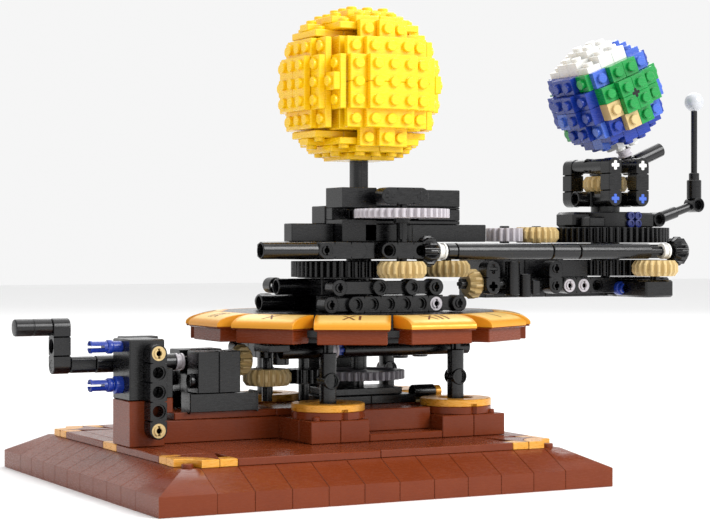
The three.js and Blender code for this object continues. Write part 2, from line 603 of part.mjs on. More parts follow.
// ---------------------------------------------------------------- earth and moon
function makeEarth() {
  const tilt = (geometry) => geometry.rotateY(-EARTH_TILT).translate(EARTH_X, 0, EARTH_Z);
  const ball = plateBall(26.8, EARTH_LEVELS, BORE_R);
  addNode('earth_ball', tilt(ball), BLUE);
  addNode('earth_axle', tilt(join([
    rod('Z', AXLE_R, [-39, -18], [0, 0, 0], 8),
    rod('Z', 3.4, [-31.5, -28.2], [0, 0, 0], 12),
  ])), GREY);

  const y = 16;
  const [lowZ, highZ] = [125.6, 141.6];
  const added = [
    placed(gear(TEETH.ring, 3.7, { bore: 2 }), EARTH_X, 0, TURNTABLE_Z),
    rod('Z', 7, [TURNTABLE_Z, lowZ], [EARTH_X, 0, 0], 16),
    box([EARTH_X - 12, EARTH_X + 12], [-5, 5], [lowZ - TUBE_R, lowZ + TUBE_R - 0.4]),
    rod('X', TUBE_R, [EARTH_X - 26, EARTH_X - 6], [0, 0, lowZ]),
    rod('X', TUBE_R, [EARTH_X - 19, EARTH_X - 6], [0, 0, highZ]),
  ];
  for (const x of [EARTH_X - STUD, EARTH_X + STUD]) {
    for (const side of [-1, 1]) {
      const upright = beam(3, [0, 0, 0], false).rotateY(-Math.PI / 2);
      added.push(upright.translate(x, side * y, lowZ));
    }
    for (const z of [lowZ, highZ]) added.push(rod('Y', TUBE_R - 0.2, [-y, y], [x, 0, z]));
  }
  const bearing = tilt(rod('Z', TUBE_R + 0.4, [-40, -32.4]));
  const outrigger = tilt(rod('X', TUBE_R - 0.2, [0, 21], [0, 0, -36]));
  added.push(bearing, outrigger);
  const cut = [
    tilt(rod('Z', BORE_R, [-50, -20])),
    rod('Z', BORE_R, [0, 150], [EARTH_X, 0, 0]),
  ];
  addNode('earth_stand', join(added, cut), BLACK);
  shaftGear('earth_drive', TEETH.pinion, 0, [EARTH_X, 0, 133], [81, 138], TAN, 2);
}

function makeMoon() {
  const floor = TOP_CHAIN_Z + 3.6 + SEAT;
  const z = [floor, floor + LIFT];
  const elbow = [EARTH_X + 30, 116];
  const boss = [EARTH_X + 46, 123.5];
  const x = MOON[0];
  const slope = Math.atan2(boss[1] - elbow[1], x - elbow[0]);
  const length = Math.hypot(boss[1] - elbow[1], x - elbow[0]);
  const link = rod('X', 2.2, [0, length], [0, 0, 0], 10).rotateY(-slope);
  addNode('moon_arm', join([
    ringPrism(9, 17, z, 14).translate(EARTH_X, 0, 0),
    box([EARTH_X - 27, EARTH_X - 12], [-8, 8], z),
    box([EARTH_X + 12, elbow[0] - 2], [-TUBE_R, TUBE_R], z),
    rod('Y', TUBE_R, [-4, 4], [elbow[0], 0, elbow[1]]),
    link.translate(elbow[0], 0, elbow[1]),
    rod('Y', TUBE_R, [-4, 4], [x, 0, boss[1]]),
    rod('Z', TUBE_R, [boss[1], 136], [x, 0, 0]),
  ], [rod('Z', 1.9, [128, 200], [x, 0, 0], 8)]), BLACK);
  const ball = new THREE.SphereGeometry(4.75, 12, 8).rotateX(Math.PI / 2);
  addNode('moon_ball', join([
    ball.translate(x, 0, MOON[1]),
    rod('Z', 1.55, [129, MOON[1]], [x, 0, 0], 8),
    rod('Z', 2.6, [136 + GAP, 139.5], [x, 0, 0], 10),
  ]), GREY);
}

makeBase();
makePlinth();
makeDial();
makeFixedFrame();
makeBearings();
makeGearboxes();
makeBaseTrain();
makeCarriage();
makeCarriageTrain();
makeSun();
makeEarth();
makeMoon();

export default group;
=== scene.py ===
"""A hand-cranked orrery of stud-and-beam bricks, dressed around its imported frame.

Lengths in this file are millimetres and are turned to metres when a mesh is made.
Every piece is a set of closed surfaces worked out with numpy: a profile turned round an
axis, an outline carried along a line, or a small template stamped at many places.
"""

import logging
import math
from dataclasses import dataclass, field
from enum import Enum
from typing import Iterable, Sequence

import bpy
import numpy as np
from mathutils import Matrix, Vector


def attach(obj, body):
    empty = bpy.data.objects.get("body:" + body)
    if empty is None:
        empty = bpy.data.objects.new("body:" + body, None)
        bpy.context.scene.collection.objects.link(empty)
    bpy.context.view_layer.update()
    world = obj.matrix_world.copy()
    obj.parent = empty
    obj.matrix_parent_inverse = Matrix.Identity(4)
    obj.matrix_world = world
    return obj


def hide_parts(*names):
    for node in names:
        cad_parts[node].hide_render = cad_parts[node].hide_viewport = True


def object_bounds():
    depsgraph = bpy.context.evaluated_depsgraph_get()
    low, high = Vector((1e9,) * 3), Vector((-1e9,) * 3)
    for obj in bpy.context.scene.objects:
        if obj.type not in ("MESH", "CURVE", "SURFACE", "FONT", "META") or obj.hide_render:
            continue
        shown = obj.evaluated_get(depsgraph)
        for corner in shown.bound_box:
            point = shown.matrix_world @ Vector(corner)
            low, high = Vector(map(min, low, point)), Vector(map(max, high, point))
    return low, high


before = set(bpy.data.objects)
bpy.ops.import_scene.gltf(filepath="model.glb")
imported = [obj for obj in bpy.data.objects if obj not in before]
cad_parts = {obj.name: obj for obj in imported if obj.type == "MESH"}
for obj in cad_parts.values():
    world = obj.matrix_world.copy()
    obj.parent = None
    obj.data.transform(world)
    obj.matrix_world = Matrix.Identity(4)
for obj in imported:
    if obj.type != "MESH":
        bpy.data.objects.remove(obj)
CAD_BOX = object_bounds()
LOG = logging.getLogger("orrery")

MM = 0.001
STUD = 8.0
PLATE = 3.2
BRICK = 3 * PLATE
LIFT = 7.4  # width and thickness of a beam
STUD_R = 2.4
STUD_H = 1.7
SEAM = 0.06  # half the air between two bricks
PIN_HOLE_R = 2.4
TUBE_R = 3.65
AXLE_R = 2.3
CROSS_ARM = 0.92  # half the width of a cross hole's arm
BEAM_EDGE = 0.25  # broken edge round a beam's faces
RECESS_R = 3.1  # wider mouth of a pin hole
RECESS_DEPTH = 0.85
BEAM_SIDES = 24  # corners round each cell of a beam
TOOTH_OUT = 0.85  # from a wheel's pitch circle to its tips
TOOTH_IN = 1.15  # and to its roots
TOOTH_STEPS = (0.0, 0.0, 0.35, 0.9, 1.0, 1.0, 0.9, 0.35)  # height round one tooth

BASE_X = (-17 * STUD, 9 * STUD)
BASE_Y = (-12 * STUD, 12 * STUD)
RIM_Z = 8.0
BASE_TOP = 16.0
DECK_Z = BASE_TOP + PLATE
SKIRT = 2 * STUD
PLINTH_Z = DECK_Z + BRICK
FOOT = 4 * STUD
POST_BOSS_Z = 44.7
DIAL_Z = (60.8, 64.0, 67.2, 73.6)
DIAL_APOTHEM = 61.0
CRANK_Z = 52.8
CRANK_ARM_X = -142.0
BRACKET_X = -112.0
BASE_TRAIN_Z = CRANK_Z - STUD
IDLER_16_X = -28.0
IDLER_20_X = -46.0
FRAME_Z = (73.7, 81.1, 88.5)
FRAME_Y = 4 * STUD
TURNTABLE_Z = 92.5
CARRIAGE_Z = (97.0, 104.8, 112.7, 120.6, 128.4)
PLANET_Y = -40.0
SUN_TRAIN_Z = 117.0
FRONT_SHAFT_Z = TURNTABLE_Z + STUD
BEVEL_X = 12.7
TOP_CHAIN_Z = 108.2
ARM_SHAFT_Z = TURNTABLE_Z - 7
ARM_BEVEL_X = BEVEL_X + 1
ARM_PINION = (math.sqrt(40**2 - 16**2), -16.0)
TOP_16_X = 78.0
TOP_20_X = 96.0
EARTH_X = 136.0
EARTH_Z = 176.0
EARTH_TILT = math.radians(22.5)
SUN_Z = 174.9
MOON_X = 190.0
MOON_Z = 175.0


class Axis(Enum):
    """The direction in which a piece's own Z is laid."""

    X = "x"
    Y = "y"
    Z = "z"

    def frame(self) -> np.ndarray:
        """Rows are where the piece's own x, y and z axes go."""
        rows = {
            Axis.X: ((0, 1, 0), (0, 0, 1), (1, 0, 0)),
            Axis.Y: ((0, 0, 1), (1, 0, 0), (0, 1, 0)),
            Axis.Z: ((1, 0, 0), (0, 1, 0), (0, 0, 1)),
        }
        return np.array(rows[self], float)


# ------------------------------------------------------------------ materials
def linear(hex_colour: str) -> tuple[float, float, float, float]:
    """Turns an sRGB hex colour to linear light.

    Args:
        hex_colour: Six hex digits.

    Returns:
        Red, green, blue and an alpha of 1.
    """
    value = np.array([int(hex_colour[i : i + 2], 16) for i in (0, 2, 4)]) / 255
    light = np.where(value <= 0.04045, value / 12.92, ((value + 0.055) / 1.055) ** 2.4)
    return (*light.tolist(), 1.0)


def add_node(
    tree: bpy.types.NodeTree,
    kind: str,
    settings: dict[str, object] | None = None,
    values: dict[str | int, object] | None = None,
    links: dict[str | int, bpy.types.NodeSocket] | None = None,
) -> bpy.types.Node:
    """Adds a node with its settings, constants and incoming links.

    Args:
        tree: The material's node tree.
        kind: The node's type name without its ShaderNode prefix.
        settings: Properties of the node itself.
        values: Constants for input sockets.
        links: Output sockets to join to input sockets.

    Returns:
        The new node.
    """
    node = tree.nodes.new("ShaderNode" + kind)
    for key, value in (settings or {}).items():
        setattr(node, key, value)
    for key, value in (values or {}).items():
        node.inputs[key].default_value = value
    for key, socket in (links or {}).items():
        tree.links.new(socket, node.inputs[key])
    return node


@dataclass(frozen=True)
class MouldedPlastic:
    """Injection-moulded ABS. The eye gets a clean even colour, a soft sheen with slightly wavy
    reflections from sink marks, and fine hairlines where pieces have been handled."""

    name: str
    colour: str
    shade: str  # the colour's darker variation, from pigment and from the mould's gate
    roughness: float = 0.3
    metallic: float = 0.0
    ior: float = 1.5
    wave_mm: float = 9.0  # sink marks, about one stud pitch apart
    scuff_mm: float = 0.5  # handling hairlines, drawn coarser than real so that they show
    pearl: float = 0.0  # share of flow streaks, for pearl pigments

    def make(self) -> bpy.types.Material:
        """Builds the node material."""
        material = bpy.data.materials.new(self.name)
        material.use_nodes = True
        tree = material.node_tree
        shader = tree.nodes["Principled BSDF"]
        shader.inputs["IOR"].default_value = self.ior
        shader.inputs["Metallic"].default_value = self.metallic
        place = add_node(tree, "TexCoord").outputs["Object"]
        broad = add_node(
            tree,
            "TexNoise",
            values={"Scale": 1 / (self.wave_mm * MM), "Detail": 2.0, "Roughness": 0.5},
            links={"Vector": place},
        )
        stretched = add_node(
            tree,
            "Mapping",
            values={"Scale": (1.0, 1.0, 5.0), "Rotation": (0.3, 0.7, 0.2)},
            links={"Vector": place},
        )
        fine = add_node(
            tree,
            "TexNoise",
            values={"Scale": 1 / (self.scuff_mm * MM * 6), "Detail": 5.0, "Roughness": 0.65},
            links={"Vector": stretched.outputs[0]},
        )
        share = add_node(
            tree,
            "MapRange",
            values={"From Min": 0.35, "From Max": 0.7, "To Min": 0.0, "To Max": 0.5},
            links={"Value": broad.outputs["Fac"]},
        )
        colour = add_node(
            tree,
            "Mix",
            {"data_type": "RGBA"},
            {6: linear(self.colour), 7: linear(self.shade)},
            {0: share.outputs[0]},
        ).outputs[2]
        if self.pearl:
            streak = add_node(
                tree,
                "MapRange",
                values={"From Min": 0.4, "From Max": 0.65, "To Min": 0.0, "To Max": self.pearl},
                links={"Value": fine.outputs["Fac"]},
            )
            colour = add_node(
                tree,
                "Mix",
                {"data_type": "RGBA"},
                {7: linear("F4D58A")},
                {0: streak.outputs[0], 6: colour},
            ).outputs[2]
        tree.links.new(colour, shader.inputs["Base Color"])
        gloss = add_node(
            tree,
            "MapRange",
            values={
                "From Min": 0.3,
                "From Max": 0.75,
                "To Min": self.roughness - 0.05,
                "To Max": self.roughness + 0.12,
            },
            links={"Value": fine.outputs["Fac"]},
        )
        tree.links.new(gloss.outputs[0], shader.inputs["Roughness"])
        height = add_node(
            tree,
            "Math",
            {"operation": "MULTIPLY_ADD"},
            {1: 0.08},
            {0: fine.outputs["Fac"], 2: broad.outputs["Fac"]},
        )
        bump = add_node(
            tree,
            "Bump",
            values={"Strength": 0.05, "Distance": 0.4 * MM},
            links={"Height": height.outputs[0]},
        )
        tree.links.new(bump.outputs[0], shader.inputs["Normal"])
        return material


@dataclass(frozen=True)
class PrintedGold:
    """Pad-printed pearl ink on a moulded tile. The eye gets a warm gold with the grain of metal flakes in the
    ink, painted a deeper orange along the tile's rim as painted shade at its edges and seams. It reads the
    attribute "rim": 0 in the middle of the print and 1 at its edge."""

    name: str = "pearl_gold_pad_print"
    middle: str = "EFC873"
    # painted shade: the deeper orange laid along each tile's edges
    edge: str = "D8911C"
    flake_mm: float = 0.45  # ink flakes, drawn coarser than real so that they show

    def make(self) -> bpy.types.Material:
        """Builds the node material."""
        material = bpy.data.materials.new(self.name)
        material.use_nodes = True
        tree = material.node_tree
        shader = tree.nodes["Principled BSDF"]
        shader.inputs["Metallic"].default_value = 0.25
        rim = add_node(tree, "Attribute", {"attribute_name": "rim"}).outputs["Fac"]
        place = add_node(tree, "TexCoord").outputs["Object"]
        flakes = add_node(
            tree,
            "TexNoise",
            values={"Scale": 1 / (self.flake_mm * MM * 3), "Detail": 3.0},
            links={"Vector": place},
        )
        uneven = add_node(
            tree,
            "Math",
            {"operation": "MULTIPLY_ADD"},
            {1: 0.25},
            {0: flakes.outputs["Fac"], 2: rim},
        )
        # painted shade: the share of the darker edge colour grows towards the tile's rim, with flake grain in
        # it
        share = add_node(
            tree,
            "MapRange",
            {"interpolation_type": "SMOOTHSTEP"},
            {"From Min": 0.45, "From Max": 1.05},
            {"Value": uneven.outputs[0]},
        )
        colour = add_node(
            tree,
            "Mix",
            {"data_type": "RGBA"},
            {6: linear(self.middle), 7: linear(self.edge)},
            {0: share.outputs[0]},
        )
        tree.links.new(colour.outputs[2], shader.inputs["Base Color"])
        gloss = add_node(
            tree,
            "MapRange",
            values={"From Min": 0.3, "From Max": 0.7, "To Min": 0.3, "To Max": 0.45},
            links={"Value": flakes.outputs["Fac"]},
        )
        tree.links.new(gloss.outputs[0], shader.inputs["Roughness"])
        bump = add_node(
            tree,
            "Bump",
            values={"Strength": 0.08, "Distance": 0.1 * MM},
            links={"Height": flakes.outputs["Fac"]},
        )
        tree.links.new(bump.outputs[0], shader.inputs["Normal"])
        return material


class Finish(Enum):
    """Every finish on the object: its material and the record's slot that it belongs to."""

    # Deep black with a clear gloss, so that edges catch thin lights.
    BLACK = (MouldedPlastic("black_moulded_abs", "060608", "040405", 0.24, ior=1.46), "black")
    # Warm chestnut with a soft sheen on the slopes.
    BROWN = (MouldedPlastic("reddish_brown_moulded_abs", "6F3015", "662A12", 0.24, ior=1.3), "brown")
    # Honey gold with pale flow streaks of pearl pigment.
    GOLD = (
        MouldedPlastic("pearl_gold_moulded_abs", "D5901C", "C27E12", 0.28, 0.3, pearl=0.25),
        "gold",
    )
    # Pale gold print, painted a deeper orange at its rim as painted shade along the tile's edges.
    PRINT = (PrintedGold(), "printed_gold")
    # Matt dark brown letters that stand out from the gold.
    INK = (MouldedPlastic("brown_print_ink", "6E3A12", "5E300E", 0.45), "printed_gold")
    # Plain sandy plastic, dull enough to show every tooth.
    TAN = (MouldedPlastic("tan_moulded_abs", "C6AD78", "BCA26B", 0.33), "tan")
    # Cool pale grey with a weak sheen.
    LIGHT_GREY = (MouldedPlastic("light_grey_moulded_abs", "B9B4B9", "AEA9AF", 0.3), "light_grey")
    # Stone grey that sits back in the shade.
    DARK_GREY = (MouldedPlastic("stone_grey_moulded_abs", "7E7B82", "747178", 0.32), "dark_grey")
    # Strong lemon yellow with glossy studs.
    YELLOW = (MouldedPlastic("bright_yellow_moulded_abs", "F7C90F", "F3C008", 0.24), "yellow")
    # Deep blue of the seas.
    BLUE = (MouldedPlastic("blue_moulded_abs", "12318F", "0F2B80", 0.24), "blue")
    # Lighter blue of the shallow seas and the axle ends.
    SKY = (MouldedPlastic("medium_blue_moulded_abs", "3F62BE", "3859B0", 0.24), "blue")
    # Near-navy blue of small pins.
    DARK_BLUE = (MouldedPlastic("dark_blue_moulded_abs", "1A2563", "151F55", 0.26), "blue")
    # Full leaf green of the land.
    GREEN = (MouldedPlastic("green_moulded_abs", "078A3C", "067A35", 0.26), "blue")
    # Clean white of the ice cap and bushes.
    WHITE = (MouldedPlastic("white_moulded_abs", "DEDEDB", "D6D6D2", 0.26), "blue")
    # Smooth pale lacquer with a faint metal look.
    SILVER = (MouldedPlastic("silver_lacquered_abs", "BFC1C5", "B8BABE", 0.32, 0.2), "light_grey")

    def material(self) -> bpy.types.Material:
        """Gives the finish's material, made once."""
        spec = self.value[0]
        return bpy.data.materials.get(spec.name) or spec.make()

    def slot(self) -> str:
        """Gives the record's material slot."""
        return self.value[1]


# ------------------------------------------------------------------ surfaces
@dataclass(frozen=True)
class Solid:
    """A closed surface: corners in millimetres, and faces as arrays of corner numbers."""

    points: np.ndarray
    faces: tuple[np.ndarray, ...]

    def at(self, x: float = 0, y: float = 0, z: float = 0) -> "Solid":
        """Gives it moved by x, y and z."""
        return Solid(self.points + np.array([x, y, z], float), self.faces)

    def laid(self, axis: Axis) -> "Solid":
        """Gives it with its own Z laid along an axis."""
        return Solid(self.points @ axis.frame(), self.faces)

    def turned(self, axis: Axis, degrees: float) -> "Solid":
        """Gives it turned about an axis through the origin."""
        turn = np.array(Matrix.Rotation(math.radians(degrees), 3, axis.value.upper()))
        return Solid(self.points @ turn.T, self.faces)

    def at_each(self, places: Iterable[Sequence[float]]) -> "Solid":
        """Repeats it at several places.

        Args:
            places: Where each copy's origin goes.

        Returns:
            All the copies as one set of surfaces: the points plus each place in turn.
        """
        spots = np.array(list(places), float).reshape(-1, 1, 3)
        count = len(self.points)
        steps = (np.arange(len(spots)) * count).reshape(-1, 1, 1)
        faces = tuple((f[None] + steps).reshape(-1, f.shape[1]) for f in self.faces)
        return Solid((self.points[None] + spots).reshape(-1, 3), faces)


def joined(solids: Iterable[Solid]) -> Solid:
    """Puts several sets of surfaces in one.

    Args:
        solids: The surfaces.

    Returns:
        One set, each part's faces counted on from the corners before it.
    """
    points: list[np.ndarray] = []
    faces: list[np.ndarray] = []
    start = 0
    for solid in solids:
        points.append(solid.points)
        faces.extend(f + start for f in solid.faces)
        start += len(solid.points)
    return Solid(np.concatenate(points), tuple(faces))


def skin(rings: np.ndarray, looped: bool = False) -> Solid:
    """Joins a pile of rings of corners into a closed surface.

    Args:
        rings: Array of ring, corner, xyz; corners run anticlockwise seen from the last ring.
        looped: Join the last ring to the first one instead of capping both.

    Returns:
        Quads between each ring and the next, with a cap of many corners on each end.
    """
    count, around = rings.shape[:2]
    ids = np.arange(count * around).reshape(count, around)
    low = ids if looped else ids[:-1]
    high = np.roll(ids, -1, 0) if looped else ids[1:]
    quads = np.stack([low, np.roll(low, -1, 1), np.roll(high, -1, 1), high], -1).reshape(-1, 4)
    caps = () if looped else (ids[:1, ::-1], ids[-1:])
    return Solid(rings.reshape(-1, 3), (quads, *caps))


def directions(angle: np.ndarray) -> np.ndarray:
    """Gives the unit directions at some angles: their cosines and sines."""
    return np.stack([np.cos(angle), np.sin(angle)], -1)


def circle(sides: int, phase: float = 0.0) -> np.ndarray:
    """Gives points of the unit circle at evenly spaced angles."""
    return directions(phase + np.arange(sides) * 2 * np.pi / sides)


def round_body(profile: Sequence[tuple[float, float]], sides: int = 24, looped: bool = False) -> Solid:
    """Turns a profile round Z.

    Args:
        profile: Radius and height of each ring, upwards on the outside.
        sides: Corners of each ring.
        looped: The profile closes on itself, as a ring's or a tube's does.

    Returns:
        Each ring is the unit circle times its radius, at its height.
    """
    line = np.array(profile, float)
    flat = circle(sides)[None] * line[:, :1, None]
    height = np.broadcast_to(line[:, 1, None, None], (len(line), sides, 1))
    return skin(np.concatenate([flat, height], -1), looped)


def inset(outline: np.ndarray, by: float) -> np.ndarray:
    """Moves an anticlockwise outline's edges inwards.

    Args:
        outline: Corners of the outline.
        by: How far each edge moves.

    Returns:
        Each corner moved along the sum of its two edges' normals, over one plus their cosine.
    """
    edge = np.roll(outline, -1, 0) - outline
    edge /= np.linalg.norm(edge, axis=1, keepdims=True)
    normal = np.stack([-edge[:, 1], edge[:, 0]], -1)
    before = np.roll(normal, 1, 0)
    cosine = np.sum(normal * before, 1, keepdims=True)
    return outline + by * (normal + before) / np.maximum(1 + cosine, 0.3)


def prism(outline: Sequence[Sequence[float]], z0: float, z1: float, bevel: float = 0.25) -> Solid:
    """Raises an outline to a height, with its end edges broken.

    Args:
        outline: Corners, anticlockwise.
        z0: Lower end.
        z1: Upper end.
        bevel: Width of the broken edges.

    Returns:
        Four rings: the inset outline at each end, and the full one a bevel's width inside it.
    """
    full = np.array(outline, float)
    small = inset(full, bevel)
    levels = ((small, z0), (full, z0 + bevel), (full, z1 - bevel), (small, z1))
    rings = [np.column_stack([flat, np.full(len(flat), z)]) for flat, z in levels]
    return skin(np.stack(rings))


def rounded(half_x: float, half_y: float, radius: float, steps: int = 1) -> np.ndarray:
    """Gives a rectangle's outline with its corners rounded.

    Args:
        half_x: Half its width.
        half_y: Half its depth.
        radius: Corner radius.
        steps: Edges in each corner.

    Returns:
        Quarter circles of the radius about the four corner centres.
    """
    angle = np.linspace(0, np.pi / 2, steps + 1)[None] + np.arange(4)[:, None] * np.pi / 2
    signs = np.array([(1, 1), (-1, 1), (-1, -1), (1, -1)], float)[:, None]
    centre = signs * np.array([half_x - radius, half_y - radius])
    return (centre + radius * directions(angle)).reshape(-1, 2)


def brick(x: Sequence[float], y: Sequence[float], z: Sequence[float], edge: float = 0.3) -> Solid:
    """Gives a moulded block with broken edges and a hair's air round it.

    Args:
        x: Its two ends along X.
        y: Its two ends along Y.
        z: Its two ends along Z.
        edge: Width of the broken edges.

    Returns:
        The block's outline raised from its lower to its upper end.
    """
    half = [(span[1] - span[0]) / 2 - SEAM for span in (x, y)]
    outline = rounded(half[0], half[1], min(edge, min(half) / 2))
    body = prism(outline, z[0] + SEAM / 2, z[1] - SEAM / 2, edge)
    return body.at((x[0] + x[1]) / 2, (y[0] + y[1]) / 2)


def brick_row(
    x: Sequence[float], y: Sequence[float], z: Sequence[float], cuts: int, along: Axis = Axis.X
) -> Solid:
    """Gives a row of equal blocks that fill a box.

    Args:
        x: The box's two ends along X.
        y: The box's two ends along Y.
        z: The box's two ends along Z.
        cuts: How many blocks.
        along: The row's direction.

    Returns:
        The first block, repeated at equal steps.
    """
    spans = [list(x), list(y), list(z)]
    index = list(Axis).index(along)
    step = (spans[index][1] - spans[index][0]) / cuts
    spans[index][1] = spans[index][0] + step
    direction = np.eye(3)[index]
    return brick(*spans).at_each(np.arange(cuts)[:, None] * step * direction)


def stud(radius: float = STUD_R) -> Solid:
    """Gives a stud with its edge broken, standing on Z 0."""
    return round_body([(radius, -0.3), (radius, STUD_H - 0.3), (radius - 0.3, STUD_H)], 16)


def slotted(radius: float, length: float, width: float = 0.9) -> Solid:
    """Gives a split pin end: two half tubes with a slot between them.

    Args:
        radius: Outer radius.
        length: Length along Z.
        width: The slot's width.

    Returns:
        Each half is a ring section swept through just under 180 degrees.
    """
    inner = radius - 0.85
    angle = np.linspace(math.asin(width / 2 / inner), math.pi - math.asin(width / 2 / inner), 9)
    arc = directions(angle)
    outline = np.concatenate([arc * radius, arc[::-1] * inner])
    half = prism(outline, 0, length, 0.12)
    return joined([half, half.turned(Axis.Z, 180)])


def cross(radius: float, arm: float = 0.9, curve: int = 3) -> np.ndarray:
    """Gives the outline of a cross axle.

    Args:
        radius: From its centre to an arm's end.
        arm: Half an arm's width.
        curve: Edges across an arm's rounded end.

    Returns:
        For each arm the inner corner and an arc of the radius between the arm's sides.
    """
    tilt = math.asin(arm / radius)
    points = []
    for quarter in range(4):
        base = quarter * math.pi / 2
        for share in np.linspace(-tilt, tilt, curve + 1):
            points.append((radius * math.cos(base + share), radius * math.sin(base + share)))
        corner = base + math.pi / 4
        points.append((arm * math.sqrt(2) * math.cos(corner), arm * math.sqrt(2) * math.sin(corner)))
    return np.array(points)


def axle(z0: float, z1: float) -> Solid:
    """Gives a cross axle from z0 to z1."""
    return prism(cross(AXLE_R), z0, z1, 0.2)


def tube(z0: float, z1: float, radius: float = TUBE_R, bore: float = PIN_HOLE_R) -> Solid:
    """Gives a round tube with open ends and a recess round each bore.

    Args:
        z0: Lower end.
        z1: Upper end.
        radius: Outer radius.
        bore: Bore radius, blind at a depth of 5 mm so that no light passes.

    Returns:
        The wall's profile turned round Z, with the bore's floor as caps.
    """
    depth = min(5.0, (z1 - z0) / 2 - 0.3)
    rim = min(bore + 0.6, radius - 0.35)
    lower = [(bore, z0 + depth), (bore, z0 + 0.8), (rim, z0 + 0.8), (rim, z0), (radius - 0.3, z0)]
    sides = [(radius, z0 + 0.3), (radius, z1 - 0.3), (radius - 0.3, z1)]
    upper = [(rim, z1), (rim, z1 - 0.8), (bore, z1 - 0.8), (bore, z1 - depth)]
    return round_body([*lower, *sides, *upper], 24)


def bush(z0: float, z1: float) -> Solid:
    """Gives an axle bush: a ring with a flange at each end."""
    mid = (z0 + z1) / 2
    line = [(2.2, z1), (2.2, z0), (3.5, z0), (3.7, z0 + 0.2), (3.7, z0 + 1.0), (3.15, z0 + 1.2)]
    line += [(3.15, mid), (3.15, z1 - 1.2), (3.7, z1 - 1.0), (3.7, z1 - 0.2), (3.5, z1)]
    return round_body(line, 24, looped=True)


class Hole(Enum):
    """What a beam has at one of its cells."""

    PIN = "o"
    CROSS = "+"
    NONE = "-"

    def mouth(self, unit: np.ndarray) -> tuple[np.ndarray, np.ndarray]:
        """Gives the outlines of the bore and of its wider mouth.

        Args:
            unit: The unit directions of their corners.

        Returns:
            Circles for a pin, a cross cut off by a circle for an axle, and points for no hole.
        """
        if self is Hole.CROSS:
            lean = np.minimum(np.abs(unit[:, 0]), np.abs(unit[:, 1]))
            bore = unit * np.minimum(AXLE_R, CROSS_ARM / np.maximum(lean, 1e-6))[:, None]
            return bore, bore * 1.02
        if self is Hole.PIN:
            return unit * PIN_HOLE_R, unit * RECESS_R
        return unit * 0.01, unit * 0.02


def cell_outline(unit: np.ndarray, first: bool, last: bool) -> tuple[np.ndarray, ...]:
    """Gives the outline of one cell of a beam.

    Args:
        unit: The unit directions of its corners.
        first: Its left side is the beam's rounded end.
        last: Its right side is the beam's rounded end.

    Returns:
        The outline, which is square towards a neighbour and round at an end, the same drawn in
        by the broken edge, and which corners lie on a side that a neighbour shares.
    """
    wide = LIFT / 2
    reach = 1 / np.maximum(np.abs(unit[:, 0]) / (STUD / 2), np.abs(unit[:, 1]) / wide)
    is_end = (first & (unit[:, 0] < -1e-9)) | (last & (unit[:, 0] > 1e-9))
    edge = np.where(is_end[:, None], unit * wide, unit * reach[:, None])
    open_side = ~is_end & (np.abs(np.abs(edge[:, 0]) - STUD / 2) < 1e-6)
    outward = np.column_stack([np.zeros(len(unit)), np.sign(edge[:, 1])])
    outward = np.where(is_end[:, None], unit, outward)
    broken = np.where(open_side[:, None], edge, edge - BEAM_EDGE * outward)
    broken[:, 1] = np.clip(broken[:, 1], BEAM_EDGE - wide, wide - BEAM_EDGE)
    return edge, broken, open_side


def beam(pattern: str, thick: float = LIFT) -> Solid:
    """Gives a beam with rounded ends, its first hole at the origin, laid along X, holes along Z.

    Args:
        pattern: One Hole letter for each cell.
        thick: Its thickness.

    Returns:
        For each cell, rings that go from the bore's wall through the recess round it to the
        cell's outline. The wall that two neighbours share is left out, and equal corners
        become one.
    """
    unit = circle(BEAM_SIDES)
    half = thick / 2
    flat_z = half - BEAM_EDGE
    points: list[np.ndarray] = []
    quads: list[np.ndarray] = []
    for cell, letter in enumerate(pattern):
        kind = Hole(letter)
        edge, broken, open_side = cell_outline(unit, cell == 0, cell == len(pattern) - 1)
        bore, recess = kind.mouth(unit)
        sink = half - (RECESS_DEPTH if kind is Hole.PIN else 0.02)
        levels = [(bore, -sink), (recess, -sink), (recess, -half), (broken, -half)]
        levels += [(edge, -flat_z), (edge, flat_z), (broken, half), (recess, half)]
        levels += [(recess, sink), (bore, sink)]
        rings = np.stack([np.column_stack([flat, np.full(len(unit), z)]) for flat, z in levels])
        rings[..., 0] += cell * STUD
        ids = np.arange(rings.shape[0] * len(unit)).reshape(rings.shape[:2])
        ids += cell * ids.size
        high = np.roll(ids, -1, 0)
        faces = np.stack([ids, np.roll(ids, -1, 1), np.roll(high, -1, 1), high], -1)
        shared = open_side & np.roll(open_side, -1)
        shared &= np.sign(unit[:, 0]) == np.sign(np.roll(unit[:, 0], -1))
        keep = np.ones(faces.shape[:2], bool)
        keep[3:6, shared] = False
        points.append(rings.reshape(-1, 3))
        quads.append(faces[keep])
    flat = np.concatenate(points)
    _, first, back = np.unique(np.round(flat, 4), axis=0, return_index=True, return_inverse=True)
    return Solid(flat[first], (back.reshape(-1)[np.concatenate(quads)],))


